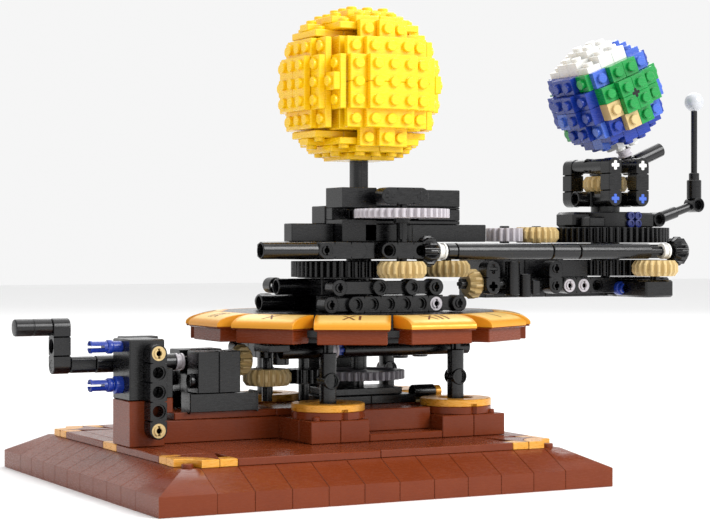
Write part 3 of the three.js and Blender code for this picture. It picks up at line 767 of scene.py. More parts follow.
def gear(teeth: int, half: float, bevelled: float = 0.0, web: float = 0.55, bore: float = 2.3) -> Solid:
    """Gives a gear wheel of module 1, its first tooth on +X.

    Args:
        teeth: Number of teeth; the pitch diameter in millimetres is the same.
        half: Half its thickness.
        bevelled: How much less the tip radius is at each face than in the middle.
        web: Thickness of the sunk web between hub and rim, as a share of the gear's.
        bore: Radius of the hole.

    Returns:
        Rings from the bore over the hub, web and rim to the toothed outline. A tooth's share of
        the pitch turn rises from the root radius to the tip and falls again.
    """
    count = teeth * len(TOOTH_STEPS)
    share = np.tile(np.roll(TOOTH_STEPS, 3), teeth)
    unit = circle(count, math.pi / count)
    pitch = teeth / 2
    root = pitch - TOOTH_IN
    rim = max(root - 2.0, bore + 1.6)
    hub = min(bore + 1.7, rim - 0.4)
    sunk = half * web

    def toothed(tip: float) -> np.ndarray:
        """Gives the toothed outline for a tip radius."""
        return root + share * (max(tip, root + 0.05) - root)

    flat = np.ones(count)
    tip = pitch + TOOTH_OUT
    has_web = rim - hub > 2.0
    face = [(flat * bore, half), (flat * bore, -half), (flat * hub, -half)]
    if has_web:
        face += [(flat * (hub + 0.3), -sunk), (flat * (rim - 0.3), -sunk), (flat * rim, -half)]
    face += [(flat * (root - 0.3), -half), (toothed(tip - max(bevelled, 0.15)), -half + 0.05)]
    face += [(toothed(tip), -half * 0.45 if bevelled else 0.2 - half)]
    face += [(toothed(tip), half * 0.45 if bevelled else half - 0.2)]
    face += [(toothed(tip - max(bevelled, 0.15)), half - 0.05), (flat * (root - 0.3), half)]
    if has_web:
        face += [(flat * rim, half), (flat * (rim - 0.3), sunk), (flat * (hub + 0.3), sunk)]
    face += [(flat * hub, half)]
    rings = [np.column_stack([unit * radius[:, None], np.full(count, z)]) for radius, z in face]
    return skin(np.stack(rings), looped=True)


def ball(radius: float, rows: int = 16, sides: int = 32) -> Solid:
    """Gives a ball: rings at evenly spaced latitudes, with small flat poles."""
    angle = np.linspace(-np.pi / 2 + 0.02, np.pi / 2 - 0.02, rows)
    return round_body(list(zip(radius * np.cos(angle), radius * np.sin(angle))), sides)


# ------------------------------------------------------------------ pieces
@dataclass
class Assembly:
    """A group of moulded parts on one CAD body, kept by finish until it is made."""

    name: str = "assembly"
    body: str = "base"
    nodes: tuple[str, ...] = ()
    parts: dict[Finish, list[Solid]] = field(default_factory=dict)

    def __post_init__(self) -> None:
        """Builds the parts."""
        self.build()

    def build(self) -> None:
        """Adds the parts; each sub-assembly has its own."""

    def add(self, finish: Finish, *solids: Solid) -> None:
        """Adds solids in one finish."""
        self.parts.setdefault(finish, []).extend(solids)

    def dress(self) -> list[bpy.types.Object]:
        """Makes one object for each finish and ties it to the frame.

        Returns:
            The new objects.
        """
        made = []
        for finish, solids in self.parts.items():
            piece = self.make(f"{self.name}_{finish.name.lower()}", joined(solids), finish)
            made.append(piece)
        for piece in made:
            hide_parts(*self.nodes)
        total = sum(len(piece.data.polygons) for piece in made)
        LOG.info("%s: %d finishes, %d faces, on body %s", self.name, len(made), total, self.body)
        return made

    def make(self, name: str, solid: Solid, finish: Finish) -> bpy.types.Object:
        """Makes one mesh object that rides on the body.

        Args:
            name: Its name.
            solid: Its surfaces, in millimetres.
            finish: Its finish.

        Returns:
            The object, at the origin, with its place in its mesh.
        """
        mesh = bpy.data.meshes.new(name)
        sizes = [np.full(len(f), f.shape[1]) for f in solid.faces]
        counts = np.concatenate(sizes)
        corners = np.concatenate([f.reshape(-1) for f in solid.faces])
        mesh.vertices.add(len(solid.points))
        mesh.vertices.foreach_set("co", (solid.points * MM).reshape(-1))
        mesh.loops.add(len(corners))
        mesh.loops.foreach_set("vertex_index", corners)
        mesh.polygons.add(len(counts))
        mesh.polygons.foreach_set("loop_start", np.concatenate([[0], np.cumsum(counts)[:-1]]))
        mesh.update(calc_edges=True)
        mesh.polygons.foreach_set("use_smooth", np.ones(len(counts), bool))
        mesh.set_sharp_from_angle(angle=math.radians(32))
        mesh.materials.append(finish.material())
        piece = bpy.data.objects.new(name, mesh)
        bpy.context.scene.collection.objects.link(piece)
        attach(piece, self.body)
        return piece


def extruded(
    outline: Sequence[Sequence[float]], span: Sequence[float], axis: Axis, bevel: float = 0.25
) -> Solid:
    """Raises an outline along an axis.

    Args:
        outline: Corners, anticlockwise, in the two axes that follow the given one.
        span: The two ends along the axis.
        axis: The direction.
        bevel: Width of the broken edges.

    Returns:
        The prism laid along the axis.
    """
    return prism(outline, span[0], span[1], bevel).laid(axis)


@dataclass
class Base(Assembly):
    """The stepped base plate: sloped skirt, tiled deck and gold inlays."""

    name: str = "base_plate"
    body: str = "base"
    nodes: tuple[str, ...] = ("base", "corner_trim_1", "corner_trim_2", "corner_trim_3", "corner_trim_4")
    pitch: float = 2 * STUD
    corner: float = 3 * STUD

    def build(self) -> None:
        """Adds plates below, slopes round the edge, deck tiles and gold trims."""
        self.add_rim()
        self.add_deck()
        self.add_gold()

    def add_rim(self) -> None:
        """Adds the slopes; each is its section, wall then incline, carried along the edge."""
        section = [(0, 0), (0, RIM_Z), (SKIRT, BASE_TOP), (SKIRT, 0)]
        for axis, across, along in ((Axis.X, BASE_Y, BASE_X), (Axis.Y, BASE_X, BASE_Y)):
            starts = np.arange(along[0] + self.corner, along[1] - self.corner - 1, self.pitch)
            for side, edge in ((1, across[0]), (-1, across[1])):
                shape = [(edge + side * u, z) for u, z in section][::-side]
                if axis is Axis.Y:
                    shape = [(z, u) for u, z in shape][::-1]
                piece = extruded(shape, (SEAM, self.pitch - SEAM), axis, 0.18)
                step = np.eye(3)[list(Axis).index(axis)]
                self.add(Finish.BROWN, piece.at_each(starts[:, None] * step))
        for x, sx in ((BASE_X[0], 1), (BASE_X[1], -1)):
            for y, sy in ((BASE_Y[0], 1), (BASE_Y[1], -1)):
                self.add(Finish.BROWN, self.corner_slope(x, y, sx, sy))

    def corner_slope(self, x: float, y: float, sx: int, sy: int) -> Solid:
        """Gives a corner piece: a square whose two outer sides lean in to the deck.

        Args:
            x: The outer corner's place along X.
            y: The outer corner's place along Y.
            sx: Which way the middle lies along X.
            sy: Which way the middle lies along Y.

        Returns:
            Rings of the same four corners, the outer ones moved in by the skirt at the top.
        """
        end = self.corner - SEAM
        rings = []
        for lean, z in ((0.2, 0), (0, 0.2), (0, RIM_Z - 0.1), (0.15, RIM_Z + 0.1), (SKIRT, BASE_TOP)):
            square = [(lean, lean), (end, lean), (end, end), (lean, end)][:: sx * sy]
            rings.append([(x + sx * u, y + sy * v, z) for u, v in square])
        return skin(np.array(rings, float))

    def add_deck(self) -> None:
        """Adds the deck: tiles two studs wide, cut short where the gold pieces lie."""
        x0, x1 = BASE_X[0] + SKIRT, BASE_X[1] - SKIRT
        y0, y1 = BASE_Y[0] + SKIRT, BASE_Y[1] - SKIRT
        z = (BASE_TOP, DECK_Z)
        self.add(Finish.BROWN, brick((x0, x1), (y0, y1), (RIM_Z, BASE_TOP)))
        inner = 3 * STUD
        for y in (y0, y1 - inner):
            self.add(Finish.BROWN, brick_row((x0 + inner, x1 - inner), (y, y + inner), z, 2))
        self.add(Finish.BROWN, brick_row((x0 + inner, x1 - inner), (y0 + inner, y1 - inner), z, 2))
        for x in (x0, x1 - inner):
            edge = x if x == x0 else x + inner - STUD
            rest = (x + STUD, x + inner) if x == x0 else (x, x + inner - STUD)
            self.add(Finish.BROWN, brick_row(rest, (y0 + inner, y1 - inner), z, 2, Axis.Y))
            for y in ((y0 + inner, -STUD), (STUD, y1 - inner)):
                self.add(Finish.BROWN, brick((edge, edge + STUD), y, z))
            self.add(Finish.GOLD, brick((edge, edge + STUD), (-STUD, STUD), z))

    def add_gold(self) -> None:
        """Adds each corner's quarter ring, its two end tiles, the bare stud and the inner tile."""
        x0, x1 = BASE_X[0] + SKIRT, BASE_X[1] - SKIRT
        y0, y1 = BASE_Y[0] + SKIRT, BASE_Y[1] - SKIRT
        arc = directions(np.linspace(0, np.pi / 2, 11))
        ring = np.concatenate([arc * (2 * STUD - SEAM), arc[::-1] * (STUD + 0.4)])
        fill = np.concatenate([arc * (2 * STUD + 0.1), [(3 * STUD, 3 * STUD)]])[::-1]
        for x, sx in ((x0, 1), (x1, -1)):
            for y, sy in ((y0, 1), (y1, -1)):
                flip = sx * sy
                curve = (ring * (sx, sy))[::flip]
                back = (fill * (sx, sy))[::flip]
                self.add(Finish.GOLD, prism(curve, BASE_TOP, DECK_Z, 0.25).at(x, y))
                self.add(Finish.BROWN, prism(back, BASE_TOP, DECK_Z, 0.1).at(x, y))
                self.add(Finish.BROWN, stud().at(x + sx * STUD / 2, y + sy * STUD / 2, BASE_TOP))
                ends = [sorted((x + sx * 2 * STUD, x + sx * 3 * STUD)), sorted((y, y + sy * STUD))]
                self.add(Finish.GOLD, brick(*ends, (BASE_TOP, DECK_Z)))
                ends = [sorted((x, x + sx * STUD)), sorted((y + sy * 2 * STUD, y + sy * 3 * STUD))]
                self.add(Finish.GOLD, brick(*ends, (BASE_TOP, DECK_Z)))


@dataclass
class Plinth(Assembly):
    """The brown plinth on the deck, with the crank platform and the four gold foot rings."""

    name: str = "plinth_bricks"
    body: str = "base"
    nodes: tuple[str, ...] = ("plinth", "foot_ring_1", "foot_ring_2", "foot_ring_3", "foot_ring_4")
    half: float = 6 * STUD
    arm: float = 2 * STUD
    end_x: float = -13 * STUD
    tab: float = 43.4

    def build(self) -> None:
        """Adds the brick courses, the plates on them, the round corners and the foot rings."""
        z = (DECK_Z + SEAM, PLINTH_Z)
        half, arm = self.half, self.arm
        top = (PLINTH_Z, PLINTH_Z + PLATE)
        for x in ((-half, -20), (16, half)):
            self.add(Finish.BROWN, brick_row(x, (-half, 12 - half), z, 2))
        self.add(Finish.BROWN, brick_row((-half, half), (half - 12, half), z, 6))
        low = (z[0], z[0] + PLATE)
        self.add(Finish.BROWN, brick((-20, 16), (-half, -36), low))
        self.add(Finish.BROWN, brick((-20, 16), (-37.5, -36), (low[1], top[1])))
        self.add(Finish.BROWN, brick_row((-half, half), (-36, -arm), z, 1))
        self.add(Finish.BROWN, brick_row((-half, half), (arm, 36), z, 1))
        self.add(Finish.BROWN, brick_row((self.end_x, half), (-arm, arm), z, 2))
        self.add(Finish.BROWN, brick_row((-half + 32, half - 32), (-36, 36), top, 1))
        for x in ((-half, -half + 31.9), (half - 31.9, half)):
            self.add(Finish.BROWN, brick(x, (-14, 14), top))
        self.add(Finish.BROWN, brick((self.end_x + STUD, -half), (-14, 14), top))
        for sx in (-1, 1):
            for sy in (-1, 1):
                x, y = sx * FOOT, sy * FOOT
                self.add(Finish.BROWN, self.round_plate().at(x, y, PLINTH_Z))
                self.add(Finish.GOLD, self.foot_ring().at(x, y, top[1] + 0.1))
                self.add(Finish.BROWN, stud(1.6).at(sx * self.tab, sy * self.tab, PLINTH_Z))

    def round_plate(self) -> Solid:
        """Gives a round plate four studs across; its radius dips at four narrow notches."""
        sides = 64
        angle = np.arange(sides) * 2 * np.pi / sides
        notch = np.abs(((angle + np.pi / 4) % (np.pi / 2)) - np.pi / 4) < 0.07
        radius = np.where(notch, 14.2, 15.85)
        return prism(directions(angle) * radius[:, None], 0.05, PLATE, 0.15)

    def foot_ring(self) -> Solid:
        """Gives a gold ring: its profile turned, with four low notches in its outer wall."""
        sides = 64
        wall = [(15.7, 0), (15.9, 0.2), (15.9, 1.3), (15.9, 2.9), (15.6, PLATE)]
        line = np.array([(8.0, PLATE), (8.0, 0), *wall])
        rings = line[:, None, 0] * np.ones(sides)
        angle = np.arange(sides) * 2 * np.pi / sides
        notch = np.abs(((angle + np.pi / 4) % (np.pi / 2)) - np.pi / 4) < 0.07
        rings[2:4, notch] = 14.2
        flat = rings[..., None] * directions(angle)
        height = np.broadcast_to(line[:, None, 1:], (len(line), sides, 1))
        return skin(np.concatenate([flat, height], -1), looped=True)


@dataclass
class Posts(Assembly):
    """Four axle-and-connector posts between the plinth and the dial."""

    name: str = "dial_posts"
    body: str = "base"
    nodes: tuple[str, ...] = ("post_1", "post_2", "post_3", "post_4")

    def build(self) -> None:
        """Adds to each foot a tube, its cross boss with a pin hole, and the axle above it."""
        flats = rounded(3.4, 3.4, 2.6, 4)
        boss = tube(-4, 4).laid(Axis.Y).at(0, 0, POST_BOSS_Z)
        post = joined([prism(flats, PLINTH_Z + 3.4, 56.7, 0.25), boss, axle(56.7, 60.7)])
        spots = [(x * FOOT, y * FOOT, 0) for x in (-1, 1) for y in (-1, 1)]
        self.add(Finish.BLACK, post.at_each(spots))


@dataclass
class Dial(Assembly):
    """The month dial: a round plate below, a ring of brown bricks and twelve curved gold tiles."""

    name: str = "month_dial"
    body: str = "base"
    nodes: tuple[str, ...] = ("dial_plate", *(f"month_tile_{i + 1}" for i in range(12)))
    inner: float = 61.0
    outer: float = 77.0
    half: float = 16.0
    lip: float = 69.0
    # width of the painted shade band along each tile's edges
    edge_shade_band: float = 3.2
    months: tuple[str, ...] = ("III", "IV", "V", "VI", "VII", "VIII", "IX", "X", "XI", "XII", "I", "II")

    def build(self) -> None:
        """Adds the dial's plates, and for each month a brown brick, its gold top and numeral."""
        z0, z1, z2, z3 = DIAL_Z
        for bore, radius, low, top, sides in ((6.5, 50.0, z0, z1, 64), (6.6, 66.0, z1, z2, 96)):
            line = [(bore, top), (bore, low), (radius - 0.4, low), (radius, low + 0.3), (radius, top)]
            self.add(Finish.BLACK, round_body(line, sides, looped=True))
        corner = DIAL_APOTHEM / math.cos(math.pi / 12)
        outline = circle(12, math.pi / 12) * (corner - 0.3)
        bore = circle(12, math.pi / 12) * 6.7
        rings = [np.column_stack([flat, np.full(12, z)]) for flat, z in
                 ((bore, z3), (bore, z2), (outline, z2), (outline, z3))]
        self.add(Finish.BLACK, skin(np.stack(rings), looped=True))
        for index, month in enumerate(self.months):
            angle = 360.0 / len(self.months) * index
            for finish, solid in self.tile(month).items():
                self.add(finish, solid.turned(Axis.Z, angle))

    def height(self, x: np.ndarray) -> np.ndarray:
        """Gives the tile's top: a quarter ellipse from its inner edge down to its lip."""
        share = np.clip((x - self.inner) / (self.outer - self.inner), 0, 1)
        return self.lip + (DIAL_Z[3] - self.lip) * np.sqrt(1 - share**2)

    def tile(self, month: str) -> dict[Finish, Solid]:
        """Makes one month's tile on +X.

        Args:
            month: Its numeral.

        Returns:
            The brown underside, the gold curved shell and the numeral's strokes.
        """
        z2 = DIAL_Z[2]
        share = np.sin(np.linspace(0, np.pi / 2, 13))
        x = self.inner + (self.outer - self.inner) * share
        top = np.stack([x, self.height(x)], -1)
        shell = np.concatenate([top, [(self.outer, z2 + 0.9), (self.inner + 0.05, z2 + 0.9)]])
        width = self.half - 0.1
        full = shell[:, ::-1]
        ends = [inset(full, 0.2)] * 2
        across = np.concatenate([[-width], np.linspace(0.2 - width, width - 0.2, 17), [width]])
        outlines = [ends[0], *[full] * 17, ends[1]]
        rings = [np.column_stack([flat, np.full(len(flat), y)]) for flat, y in zip(outlines, across)]
        gold = skin(np.stack(rings)).laid(Axis.Y)
        under = brick((self.inner + 2, self.outer - 2.0), (-width + 1.2, width - 1.2), (z2 - 5.6, z2 + 0.9))
        depth = (self.inner + 0.1, self.outer - 0.25)
        step = brick(depth, (-width + 0.1, width - 0.1), (z2 + 0.1, z2 + 0.95))
        return {Finish.PRINT: gold, Finish.BROWN: joined([step, under]), Finish.INK: self.numeral(month)}

    def numeral(self, month: str) -> Solid:
        """Writes a numeral that lies on the curved top, read from outside.

        Args:
            month: Letters I, V and X.

        Returns:
            Each stroke is a thin slanted strip, sunk 0.3 mm under the top and 0.06 mm proud.
        """
        strokes = {
            "I": (((0.0, 0.0), (0.0, 1.0)),),
            "V": (((-0.4, 1.0), (0.0, 0.0)), ((0.4, 1.0), (0.0, 0.0))),
            "X": (((-0.4, 0.0), (0.4, 1.0)), ((0.4, 0.0), (-0.4, 1.0))),
        }
        wide = {"I": 3.0, "V": 6.2, "X": 6.2}
        tall, near = 7.4, 65.6
        at = -sum(wide[letter] for letter in month) / 2
        bits = []
        for letter in month:
            middle = at + wide[letter] / 2
            for (u0, v0), (u1, v1) in strokes[letter]:
                run = np.linspace(0, 1, 5)
                y = middle + 5.8 * (u0 + (u1 - u0) * run)
                x = near + tall * (1 - (v0 + (v1 - v0) * run))
                rings = []
                for side, lift in ((-0.5, -0.3), (0.5, -0.3), (0.5, 0.06), (-0.5, 0.06)):
                    rings.append(np.stack([x, y + side, self.height(x) + lift], -1))
                rings = np.stack(rings, 1)
                bits.append(skin(rings if v1 < v0 else rings[::-1]))
            at += wide[letter]
        return joined(bits)

    def make(self, name: str, solid: Solid, finish: Finish) -> bpy.types.Object:
        """Makes the piece, and on the printed tiles stores how near the print's edge a corner is, for the
        painted shade along the edges.

        Args:
            name: Its name.
            solid: Its surfaces.
            finish: Its finish.

        Returns:
            The object.
        """
        piece = super().make(name, solid, finish)
        if finish is not Finish.PRINT:
            return piece
        pitch = 2 * np.pi / len(self.months)
        angle = np.arctan2(solid.points[:, 1], solid.points[:, 0])
        turn = -np.round(angle / pitch) * pitch
        x = solid.points[:, 0] * np.cos(turn) - solid.points[:, 1] * np.sin(turn)
        y = solid.points[:, 0] * np.sin(turn) + solid.points[:, 1] * np.cos(turn)
        near = np.min([x - self.inner, self.outer - x, self.half - np.abs(y)], axis=0)
        # painted shade: 1 at the tile's edge, fading to 0 a band's width inside it
        rim = np.clip(1.15 - near / self.edge_shade_band, 0, 1)
        layer = piece.data.attributes.new("rim", "FLOAT", "POINT")
        layer.data.foreach_set("value", rim.astype(np.float32))
        return piece


def upright(pattern: str, thick: float = LIFT) -> Solid:
    """Gives a standing beam, its lowest hole at the origin, holes along Y."""
    return beam(pattern, thick).turned(Axis.X, 90).turned(Axis.Y, -90)


def level(pattern: str, thick: float = LIFT) -> Solid:
    """Gives a beam laid along X, its first hole at the origin, holes along Y."""
    return beam(pattern, thick).turned(Axis.X, 90)


def pin_end(radius: float = 3.05) -> Solid:
    """Gives a pin's end as it fills a hole, facing -Y: a lip round a split shank."""
    lip = round_body([(2.1, 0.7), (2.1, 0), (radius, 0), (radius, 0.7)], 24, looped=True)
    return joined([lip, slotted(2.1, 1.4, 0.7).at(0, 0, -0.6)]).laid(Axis.Y).at(0, -LIFT / 2 + 0.1, 0)


@dataclass
class FixedFrame(Assembly):
    """Beams on the dial that hold the fixed 60-tooth turntable."""

    name: str = "fixed_beams"
    body: str = "base"
    nodes: tuple[str, ...] = ("fixed_frame", "fixed_turntable")
    tube_y: float = 1.5 * STUD

    def build(self) -> None:
        """Adds two tiers of beams, the blocks and tubes between them, pins and the turntable."""
        low = FRAME_Z[0] + LIFT / 2
        high = FRAME_Z[1] + LIFT / 2 - 0.05
        for side in (-1, 1):
            y = side * FRAME_Y
            self.add(Finish.BLACK, level("oooooo").at(-2.5 * STUD, y, low))
            for x, z in ((-FRAME_Y, low), (FRAME_Y, low), (-28.0, high), (20.0, high)):
                self.add(Finish.BLACK, level("o").at(x, y, z), self.end(side).at(x, y, z))
            self.add(Finish.LIGHT_GREY, self.end(side).at(2.5 * STUD, y, low))
            for x in (-STUD, STUD):
                boss = tube(-3.7, 3.7, 3.65, 1.9).laid(Axis.Y)
                self.add(Finish.BLACK, boss.at(x, y, high))
            web = sorted((side * (FRAME_Y - 3), side * (FRAME_Y + 1.6)))
            self.add(Finish.BLACK, brick((-28, 20), web, (FRAME_Z[1] + 0.6, FRAME_Z[2] - 0.9)))
            self.add(Finish.BLACK, brick((-32, 32), web, (FRAME_Z[0] + 0.6, FRAME_Z[1] - 0.6)))
        self.add(Finish.BLACK, brick_row((-28, 28), (-28.2, -12), (FRAME_Z[0], FRAME_Z[1]), 2))
        self.add(Finish.BLACK, brick_row((-28, 28), (12, 28.2), (FRAME_Z[0], FRAME_Z[1]), 2))
        self.add(Finish.BLACK, brick((-27, -7.5), (-16, 16), (FRAME_Z[1], FRAME_Z[2] - 0.4)))
        self.add(Finish.BLACK, tube(-44.5, -28).laid(Axis.X).at(0, self.tube_y, low))
        self.add(Finish.BLACK, tube(-41.7, -27).laid(Axis.X).at(0, 0, high))
        ring = [(6.5, -3.95), (28.0, -3.95), (28.0, -2.95), (6.5, -2.95)]
        self.add(Finish.BLACK, gear(60, 3.6, bore=6.5).at(0, 0, TURNTABLE_Z))
        self.add(Finish.BLACK, round_body(ring, 48, looped=True)
                 .at(0, 0, TURNTABLE_Z))

    def end(self, side: int) -> Solid:
        """Gives a pin's end on the beam face that looks to one side of Y."""
        return pin_end() if side < 0 else pin_end().turned(Axis.Z, 180)


@dataclass
class CrankBrackets(Assembly):
    """The column with an upright beam in front of the crank's shaft, and the one behind it."""

    name: str = "crank_brackets"
    body: str = "base"
    nodes: tuple[str, ...] = ("bracket_front", "bracket_rear")
    near: float = 4.0
    far: float = 24.0
    first_hole: float = 26.4
    brown_top: float = DECK_Z + 2 * BRICK

    def build(self) -> None:
        """Adds the front column, its step, beam and pins, and the plain rear column."""
        x = (BRACKET_X - STUD, BRACKET_X + STUD - 0.3)
        y = (-self.far, -self.near)
        self.add(Finish.BROWN, brick(x, y, (DECK_Z + SEAM, self.brown_top)))
        self.add(Finish.BLACK, brick(x, y, (self.brown_top, 64), 0.5))
        rest = (x[1] + 0.4, x[1] + STUD)
        depth = (-13.5, -self.near)
        self.add(Finish.BROWN, brick(rest, depth, (PLINTH_Z + PLATE, self.brown_top)))
        self.add(Finish.BLACK, brick(rest, depth, (self.brown_top, 51)))
        face = -(self.far + LIFT / 2 + 0.1)
        beam_x = BRACKET_X + 2
        self.add(Finish.BLACK, upright("ooooo").at(beam_x, face, self.first_hole))
        for step in (0, 4):
            self.add(Finish.TAN, pin_end().at(beam_x, face, self.first_hole + step * STUD))
        for z in (CRANK_Z - STUD, CRANK_Z + STUD):
            self.add(Finish.BLUE, self.long_pin(z < CRANK_Z).at(-134, -14, z))
        grey = round_body([(1.2, 0), (2.6, 1.2), (2.6, 6.5), (2.2, 7)], 16).laid(Axis.X)
        self.add(Finish.LIGHT_GREY, grey.at(x[0] - 3.4, -9.2, CRANK_Z - STUD))
        rear = (self.near, 11.9)
        self.add(Finish.BROWN, brick((BRACKET_X, x[1]), rear, (DECK_Z + SEAM, self.brown_top)))
        upper = (BRACKET_X, BRACKET_X + 2 * STUD)
        self.add(Finish.BLACK, brick_row(upper, rear, (self.brown_top, 64), 3, Axis.Z))

    def long_pin(self, collared: bool) -> Solid:
        """Gives a blue pin along X with its split end first.

        Args:
            collared: Add the wide collar of a pin with a stop.

        Returns:
            The split end with its lip, a solid middle and the collar.
        """
        parts = [slotted(2.35, 7.5), slotted(2.65, 1.0)]
        parts.append(round_body([(2.35, 6), (2.35, 15.5)], 24))
        parts.append(round_body([(2.7, 7.6), (2.95, 8.0), (2.95, 9.6), (2.7, 10)], 24))
        if collared:
            parts.append(round_body([(2.8, 10.5), (3.7, 11), (3.7, 14), (3.4, 14.3)], 24))
        return joined(parts).laid(Axis.X)


@dataclass
class GearHousings(Assembly):
    """Brick housings on the plinth that carry the crank's inner end and the two idlers."""

    name: str = "gear_housings"
    body: str = "base"
    nodes: tuple[str, ...] = ("gearbox_left", "gearbox_rear")
    floor: float = PLINTH_Z + PLATE + 0.1

    def build(self) -> None:
        """Adds the left housing, the rear column with its arms, and what hangs under the dial."""
        floor = self.floor
        for side in (-1, 1):
            y = sorted((side * 4, side * 16))
            self.add(Finish.BLACK, brick_row((-86, -66), y, (39.8, 57.8), 2))
            section = [(-15.9, floor), (-15.9, 39.6), (-8, 39.6), (-8, floor)]
            rail = extruded(section, (-90, -58), Axis.X, 0.8)
            self.add(Finish.BLACK, rail if side < 0 else rail.turned(Axis.Z, 180).at(-148, 0, 0))
            groove = brick((-84, -66), sorted((side * 15.6, side * 15.95)), (36.2, 37.6), 0.1)
            self.add(Finish.DARK_GREY, groove)
            self.add(Finish.BLACK, tube(-88.2, -86, 3.2).laid(Axis.X).at(0, side * 11, 45))
        self.add(Finish.BLACK, brick((-86, -66), (-3.8, 3.8), (floor, 47.6)))
        ceiling = DIAL_Z[0] - 0.1
        self.add(Finish.BLACK, brick_row((-14, 14), (22.5, 32), (floor, ceiling), 3, Axis.Z))
        self.add(Finish.BLACK, level("ooooo-").at(-48, 26.2, ceiling - LIFT / 2))
        for x in (IDLER_20_X, IDLER_16_X):
            arm = beam("+-o-").turned(Axis.Z, 90).at(x, 0, ceiling - LIFT / 2)
            self.add(Finish.BLACK, arm)
        self.add(Finish.BLACK, brick_row((-24, 22), (-14, 12), (floor, 36.0), 2))
        self.add(Finish.BLACK, brick((-20, 16), (-12, 10), (36.0, 39.2)))
        self.add(Finish.BLACK, tube(22, 33, 3.4).laid(Axis.X).at(0, -10, 36.4))
        self.add(Finish.GOLD, round_body([(2.4, 33), (2.9, 33.4), (2.9, 36), (2.4, 36.4)], 20).laid(Axis.X)
                 .at(0, -10, 36.4))
        self.add(Finish.TAN, brick((22.3, 37), (-13.5, -6), (floor, floor + 0.9), 0.2))
        rod = tube(-50, -27, 3.3).laid(Axis.X).at(0, -22, 57.2)
        self.add(Finish.BLACK, rod, tube(-20, 44, 3.2).laid(Axis.X).at(0, -22, 57.2))
        self.add(Finish.LIGHT_GREY, bush(-27, -23).laid(Axis.X).at(0, -22, 57.2))
        self.add(Finish.BLUE, axle(-22.6, -19.6).laid(Axis.X).at(0, -22, 57.2))
        hang = tube(51, 60.6, 3.65)
        self.add(Finish.BLACK, hang.at_each([(26, 8, 0), (40, 14, 0), (-46, -14, 0)]))
        low = round_body([(8, 58.6), (12, 58.6), (12, 60.7), (8, 60.7)], 32, looped=True)
        self.add(Finish.BLACK, low.at(44, -6))
        self.add(Finish.BLACK, brick((-60, -50), (-32, -16), (57.4, 60.6)))


@dataclass
class Crank(Assembly):
    """The hand crank: shaft, arm, grip and the tan bevel inside."""

    name: str = "hand_crank"
    body: str = "crank"
    nodes: tuple[str, ...] = ("crank_shaft", "crank_arm", "crank_handle", "crank_bevel")
    phase: float = 0.0

    def build(self) -> None:
        """Adds the sleeves, axle, bush, three-hole arm, grip and bevel along the crank's axis."""
        shaft = [tube(-126.5, -90.4), axle(-145.6, -55.1)]
        shaft.append(prism(rounded(3.35, 3.35, 1.6, 4), -137.9, -127, 0.2))
        self.add(Finish.BLACK, *[part.laid(Axis.X).at(0, 0, CRANK_Z) for part in shaft])
        self.add(Finish.LIGHT_GREY, bush(-90.2, -86.5).laid(Axis.X).at(0, 0, CRANK_Z))
        arm = beam("+o+").turned(Axis.Y, -90)
        self.add(Finish.BLACK, arm.at(CRANK_ARM_X, 0, CRANK_Z))
        hole = prism(cross(1.9, 0.8), -3.78, -3.6, 0.02).laid(Axis.Y)
        self.add(Finish.BLACK, hole.at(CRANK_ARM_X, 0, CRANK_Z + STUD))
        grip = CRANK_Z + 2 * STUD
        line = [(2.4, -162), (3.3, -161.8), (3.6, -161.4), (3.6, -154.3), (3.4, -154.1), (3.4, -153.9)]
        line += [(3.6, -153.7), (3.6, -146.3), (3.3, -146)]
        self.add(Finish.BLACK, round_body(line, 32).laid(Axis.X).at(0, 0, grip))
        self.add(Finish.BLACK, axle(-147, -138).laid(Axis.X).at(0, 0, grip))
        bevel = gear(12, 3.6, bevelled=2).turned(Axis.Z, math.degrees(self.phase))
        self.add(Finish.TAN, bevel.laid(Axis.X).at(IDLER_20_X - BEVEL_X, 0, CRANK_Z))


@dataclass
class ShaftGear(Assembly):
    """A gear wheel on its own upright axle."""

    name: str = "shaft_gear"
    teeth: int = 20
    half: float = 3.7
    bevelled: float = 1.5
    finish: Finish = Finish.TAN
    place: tuple[float, float, float] = (0.0, 0.0, 0.0)
    span: tuple[float, float] = (0.0, 1.0)
    phase: float = 0.0
    bushes: tuple[float, ...] = ()

    def build(self) -> None:
        """Adds the wheel at its phase, the axle and the bushes."""
        x, y, z = self.place
        wheel = gear(self.teeth, self.half, self.bevelled, bore=1.9)
        self.add(self.finish, wheel.turned(Axis.Z, math.degrees(self.phase)).at(x, y, z))
        self.add(Finish.BLACK, axle(*self.span).at(x, y))
        for low in self.bushes:
            self.add(Finish.LIGHT_GREY, bush(low, low + 3.8).at(x, y))


def mesh_phase(teeth: int, phase: float, mate_teeth: int, towards: float) -> float:
    """Gives a gear's phase in mesh with another, which lies from it opposite to towards.

    Args:
        teeth: The other gear's teeth.
        phase: The other gear's phase.
        mate_teeth: This gear's teeth.
        towards: The direction from the other gear to this one.

    Returns:
        The phase at which this gear's gap meets the other's tooth at their pitch point.
    """
    step = 2 * math.pi / teeth
    share = (towards - phase) / step
    return towards + math.pi - (0.5 - share) * 2 * math.pi / mate_teeth


def bevel_phase(teeth: int, phase: float, mate_teeth: int, towards: float, above: bool = True) -> float:
    """Gives the phase of a bevel round X in mesh with a flat gear.

    Args:
        teeth: The flat gear's teeth.
        phase: The flat gear's phase.
        mate_teeth: The bevel's teeth.
        towards: The direction from the flat gear to the bevel, 0 or pi.
        above: The bevel's axle is above the flat gear.

    Returns:
        The phase, from how far the nearest tooth is off the line between the two.
    """
    step = 2 * math.pi / teeth
    off = phase - towards - round((phase - towards) / step) * step
    turn = (math.cos(towards) * off * teeth / 2 + math.pi / 2) / (mate_teeth / 2)
    return turn - math.pi / 2 if above else math.pi / 2 - turn


